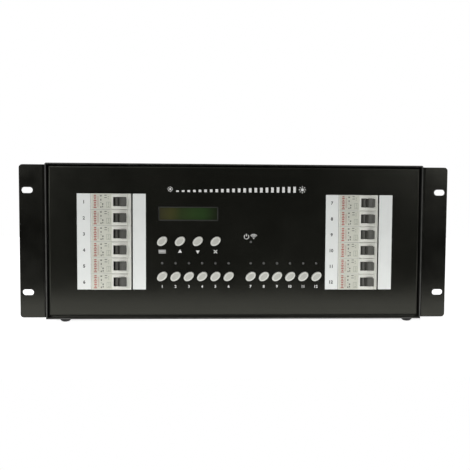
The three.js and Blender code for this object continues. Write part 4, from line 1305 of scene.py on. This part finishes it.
@dataclass
class RearWall:
    """Fan, terminals and sockets, with their screws and contacts."""

    wall: float = 370.0
    fan: tuple[float, float] = (-150.0, 90.0)
    fan_hole: float = 35.75
    fan_screw: float = 3.2
    output: tuple[float, float] = (15.0, 52.0)
    output_poles: int = 12
    output_pitch: float = 14.0
    output_row: float = 9.6
    output_screw: float = 1.7
    mains: tuple[float, float] = (60.0, 118.0)
    mains_poles: int = 5
    mains_pitch: float = 16.0
    mains_row: float = 8.5
    mains_screw: float = 2.1
    terminal_face: float = 375.0
    screw_land: float = 1.2
    outlet_x: float = 151.0
    inlet_x: float = 185.0
    inlet_radius: float = 6.3
    inlet_floor: float = 358.0
    socket_z: float = 118.0
    socket_face: float = 372.3
    socket_board: float = 347.0
    plate_half: tuple[float, float] = (10.4, 12.9)
    plate_screw: float = 1.9
    contact_circle: float = 4.3
    contact_radius: float = 1.5
    contact_back: float = 371.27
    contact_hole: float = 1.1
    hole_back: float = 371.37

    def build(self) -> None:
        """Build the rear wall's pieces."""
        fan = Blank.copied("fan_frame_moulded", "fan_frame", BLACK_PLASTIC)
        fan.deliver("case", Slot.PLASTIC, "fan_frame", smooth_below=20)
        for node in ("output_terminals", "mains_terminals"):
            self.build_terminals(node)
        rotor = Blank.copied("fan_rotor_moulded", "fan_rotor", BLACK_PLASTIC)
        rotor.soften(0.2, longer_than=3)
        rotor.deliver("fan_rotor", Slot.PLASTIC, "fan_rotor")
        self.build_sockets()
        self.build_screws()

    def build_terminals(self, node: str) -> None:
        """Dress a terminal block and set its face back, so that its clamp screws stand on it.

        Args:
            node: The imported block.
        """
        moulding = Blank.copied(node + "_moulded", node, BLACK_PLASTIC)
        for vert in moulding.mesh.verts:
            if vert.co.y > self.terminal_face - 0.01:
                vert.co.y -= self.screw_land
        moulding.soften(0.3, longer_than=2)
        moulding.deliver("case", Slot.PLASTIC, node, smooth_below=20)

    def build_sockets(self) -> None:
        """Dress the two control sockets: black bores, bright pins, and contacts whose holes are near-black
        discs of painted shade.
        """
        sockets = Blank.copied("socket_board_dressed", "socket_board", BLACK_PLASTIC)
        sockets.paint_where(CIRCUIT_BOARD, lambda middle, _: middle.y < self.socket_board)
        sockets.paint_where(
            BRIGHT_STEEL,
            lambda middle, _: self.inlet_floor < middle.y < self.socket_face - 0.2
            and math.hypot(middle.x - self.inlet_x, middle.z - self.socket_z) < self.inlet_radius,
        )
        sockets.soften(0.3, longer_than=2)
        sockets.deliver("case", Slot.PLASTIC, "socket_board", smooth_below=20)
        contacts = Blank("outlet_contacts")
        for turn in range(3):
            angle = math.radians(90 + 120 * turn)
            x = self.outlet_x + self.contact_circle * math.cos(angle)
            z = self.socket_z + self.contact_circle * math.sin(angle)
            contacts.disc((x, self.contact_back, z), self.contact_radius, 0.12, BRIGHT_STEEL, way=Way.REAR)
            # A near-black disc over each contact's hole: painted shade.
            contacts.disc((x, self.hole_back, z), self.contact_hole, 0.05, PAINTED_SHADE, way=Way.REAR)
        contacts.deliver("case", Slot.PLASTIC)

    def build_screws(self) -> None:
        """Add the screws of the fan, the sockets and the terminals."""
        screws = Blank("rear_screws")
        x, z = self.fan
        for across in (-1, 1):
            for up in (-1, 1):
                place = (x + across * self.fan_hole, self.wall, z + up * self.fan_hole)
                screws.screw(place, self.fan_screw, Way.REAR, SCREW_STEEL)
        wide, tall = self.plate_half
        for middle in (self.outlet_x, self.inlet_x):
            for side in (-1, 1):
                place = (middle + side * wide, self.socket_face, self.socket_z + side * tall)
                screws.screw(place, self.plate_screw, Way.REAR, SCREW_STEEL)
        land = self.terminal_face - self.screw_land
        middle, z = self.output
        for x in spaced(middle, self.output_poles, self.output_pitch):
            for row in (-1, 1):
                place = (x, land, z + row * self.output_row)
                screws.screw(place, self.output_screw, Way.REAR, BRIGHT_STEEL)
        middle, z = self.mains
        for x in spaced(middle, self.mains_poles, self.mains_pitch):
            screws.screw((x, land, z + self.mains_row), self.mains_screw, Way.REAR, BRIGHT_STEEL)
        screws.deliver("case", Slot.PLASTIC)


# Power parts


@dataclass
class PowerParts:
    """Heat sink with its devices, and the chokes on their board."""

    sink_front: float = 150.0
    board_front: float = 258.0
    board_half: float = 114.0
    board_low: float = 9.8
    board_sheet: float = 1.6
    pitch: float = 38.0
    columns: int = 6
    rows: int = 2
    ring: float = 11.0
    ring_height: float = 3.9
    core: float = 4.3
    turn_radius: float = 4.85
    wire: float = 0.62
    turns: int = 26
    leg: float = 2.4
    floor: float = 1.8

    def build(self) -> None:
        """Build the power parts."""
        sink = Blank.copied("triac_heatsink_dressed", "triac_heatsink", ALUMINIUM)
        sink.paint_where(BLACK_PLASTIC, lambda middle, _: middle.y < self.sink_front - 0.1)
        sink.soften(0.3, longer_than=3)
        sink.deliver("case", Slot.HEATSINK, "triac_heatsink")
        self.build_chokes()

    def build_chokes(self) -> None:
        """Wind the ring chokes and set them on their board."""
        board = Blank("choke_board_wound")
        top = self.board_low + self.board_sheet
        back = self.board_front + self.rows * self.pitch
        low = (-self.board_half, self.board_front, self.board_low)
        board.block(low, (self.board_half, back, top), CIRCUIT_BOARD)
        inset = 2 * self.leg
        for x in (-self.board_half + inset, self.board_half - inset):
            for y in (self.board_front + inset, back - inset):
                low = (x - self.leg, y - self.leg, self.floor)
                board.block(low, (x + self.leg, y + self.leg, self.board_low), ZINC)
        for y in spaced((self.board_front + back) / 2, self.rows, self.pitch):
            for x in spaced(0, self.columns, self.pitch):
                self.wind(board, (x, y, top + self.ring_height))
        board.deliver("case", Slot.WINDING, "choke_board", smooth_below=60)

    def wind(self, board: Blank, middle: Point) -> None:
        """Wind one ring choke.

        Args:
            board: The choke board.
            middle: Middle of the ring.
        """
        board.hoop(middle, self.ring, self.core, FERRITE, Matrix.Identity(4), steps=24, sides=12)
        for turn in range(self.turns):
            angle = Matrix.Rotation(FULL_TURN * turn / (self.turns + 2), 4, "Z")
            place = tuple(Vector(middle) + angle @ Vector((self.ring, 0, 0)))
            upright = angle @ turned(90, "X")
            board.hoop(place, self.turn_radius, self.wire, COPPER, upright, steps=8, sides=4)


# Studio


@dataclass
class Studio:
    """The camera, the lights and the white table."""

    eye: Point = (-30.1, -665.8, 129.8)
    lens: float = 45.27
    sensor: float = 36.0
    yaw: float = -2.48
    pitch: float = -2.94
    roll: float = -0.32
    table_front: float = -0.39
    table_back: float = 1.6
    table_side: float = 1.9
    room_strength: float = 0.02
    light_aim: Point = (0, -0.1, 0.09)
    lights: tuple[tuple[str, Point, tuple[float, float], float], ...] = (
        ("top_light", (0.1, -0.7, 1.45), (1.4, 0.8), 8.8),
        ("right_light", (1.42, -2.5, 0.87), (0.8, 0.8), 9.6),
        ("left_light", (-1.68, -2.7, 0.97), (0.65, 0.65), 28.5),
        ("back_light", (-0.9, 2.3, 1.3), (1.2, 1.0), 16),
    )

    def build(self) -> None:
        """Set up the studio."""
        self.set_camera()
        self.lay_table()
        self.light_world()
        for name, place, size, power in self.lights:
            self.light(name, place, size, power)
        bpy.context.scene.view_settings.view_transform = "Standard"

    def set_camera(self) -> None:
        """Put the camera where the photograph was taken from."""
        data = bpy.data.cameras.new("camera")
        data.lens = self.lens
        data.sensor_width = self.sensor
        camera = link("camera", data)
        turn = Matrix.Identity(3)
        for angle, axis in ((self.yaw, "Z"), (self.pitch, "X"), (self.roll, "Y"), (90, "X")):
            turn = turn @ Matrix.Rotation(math.radians(angle), 3, axis)
        eye = (Vector(self.eye) + DATUM.shift()) * MM
        camera.matrix_world = Matrix.LocRotScale(eye, turn, None)
        bpy.context.scene.camera = camera

    def lay_table(self) -> None:
        """Lay a white table under the pack, ending a little in front of it."""
        shape = rectangle(2 * self.table_side, self.table_back - self.table_front)
        bmesh.ops.translate(shape, vec=(0, (self.table_back + self.table_front) / 2, 0), verts=shape.verts)
        data = bpy.data.meshes.new("table")
        shape.to_mesh(data)
        shape.free()
        data.materials.append(TABLE.material())
        table = link("table", data)

    def light_world(self) -> None:
        """Surround the pack with a dim room that the camera sees as plain white."""
        world = bpy.data.worlds.new("studio")
        world.use_nodes = True
        bpy.context.scene.world = world
        tree = world.node_tree
        room = tree.nodes["Background"]
        room.inputs["Color"].default_value = (1, 1, 1, 1)
        room.inputs["Strength"].default_value = self.room_strength
        backdrop = tree.nodes.new("ShaderNodeBackground")
        backdrop.inputs["Color"].default_value = (1, 1, 1, 1)
        seen = tree.nodes.new("ShaderNodeLightPath")
        mix = tree.nodes.new("ShaderNodeMixShader")
        tree.links.new(seen.outputs["Is Camera Ray"], mix.inputs["Fac"])
        tree.links.new(room.outputs["Background"], mix.inputs[1])
        tree.links.new(backdrop.outputs["Background"], mix.inputs[2])
        tree.links.new(mix.outputs["Shader"], tree.nodes["World Output"].inputs["Surface"])

    def light(self, name: str, place: Point, size: tuple[float, float], power: float) -> None:
        """Hang a soft light that looks at the pack.

        Args:
            name: Its name.
            place: Where it hangs, in metres.
            size: Its width and height.
            power: Its power in watts.
        """
        data = bpy.data.lights.new(name, "AREA")
        data.shape = "RECTANGLE"
        data.size, data.size_y = size
        data.energy = power
        lamp = link(name, data)
        aim = Vector(self.light_aim) - Vector(place)
        lamp.matrix_world = Matrix.LocRotScale(Vector(place), aim.to_track_quat("-Z", "Y"), None)


def main() -> None:
    """Dress the pack and set up the studio."""
    logging.basicConfig(level=logging.INFO, format="%(name)s: %(message)s")
    for assembly in (Case(), Breakers(), Controls(), RearWall(), PowerParts(), Studio()):
        assembly.build()


if __name__ == "__main__":
    main()
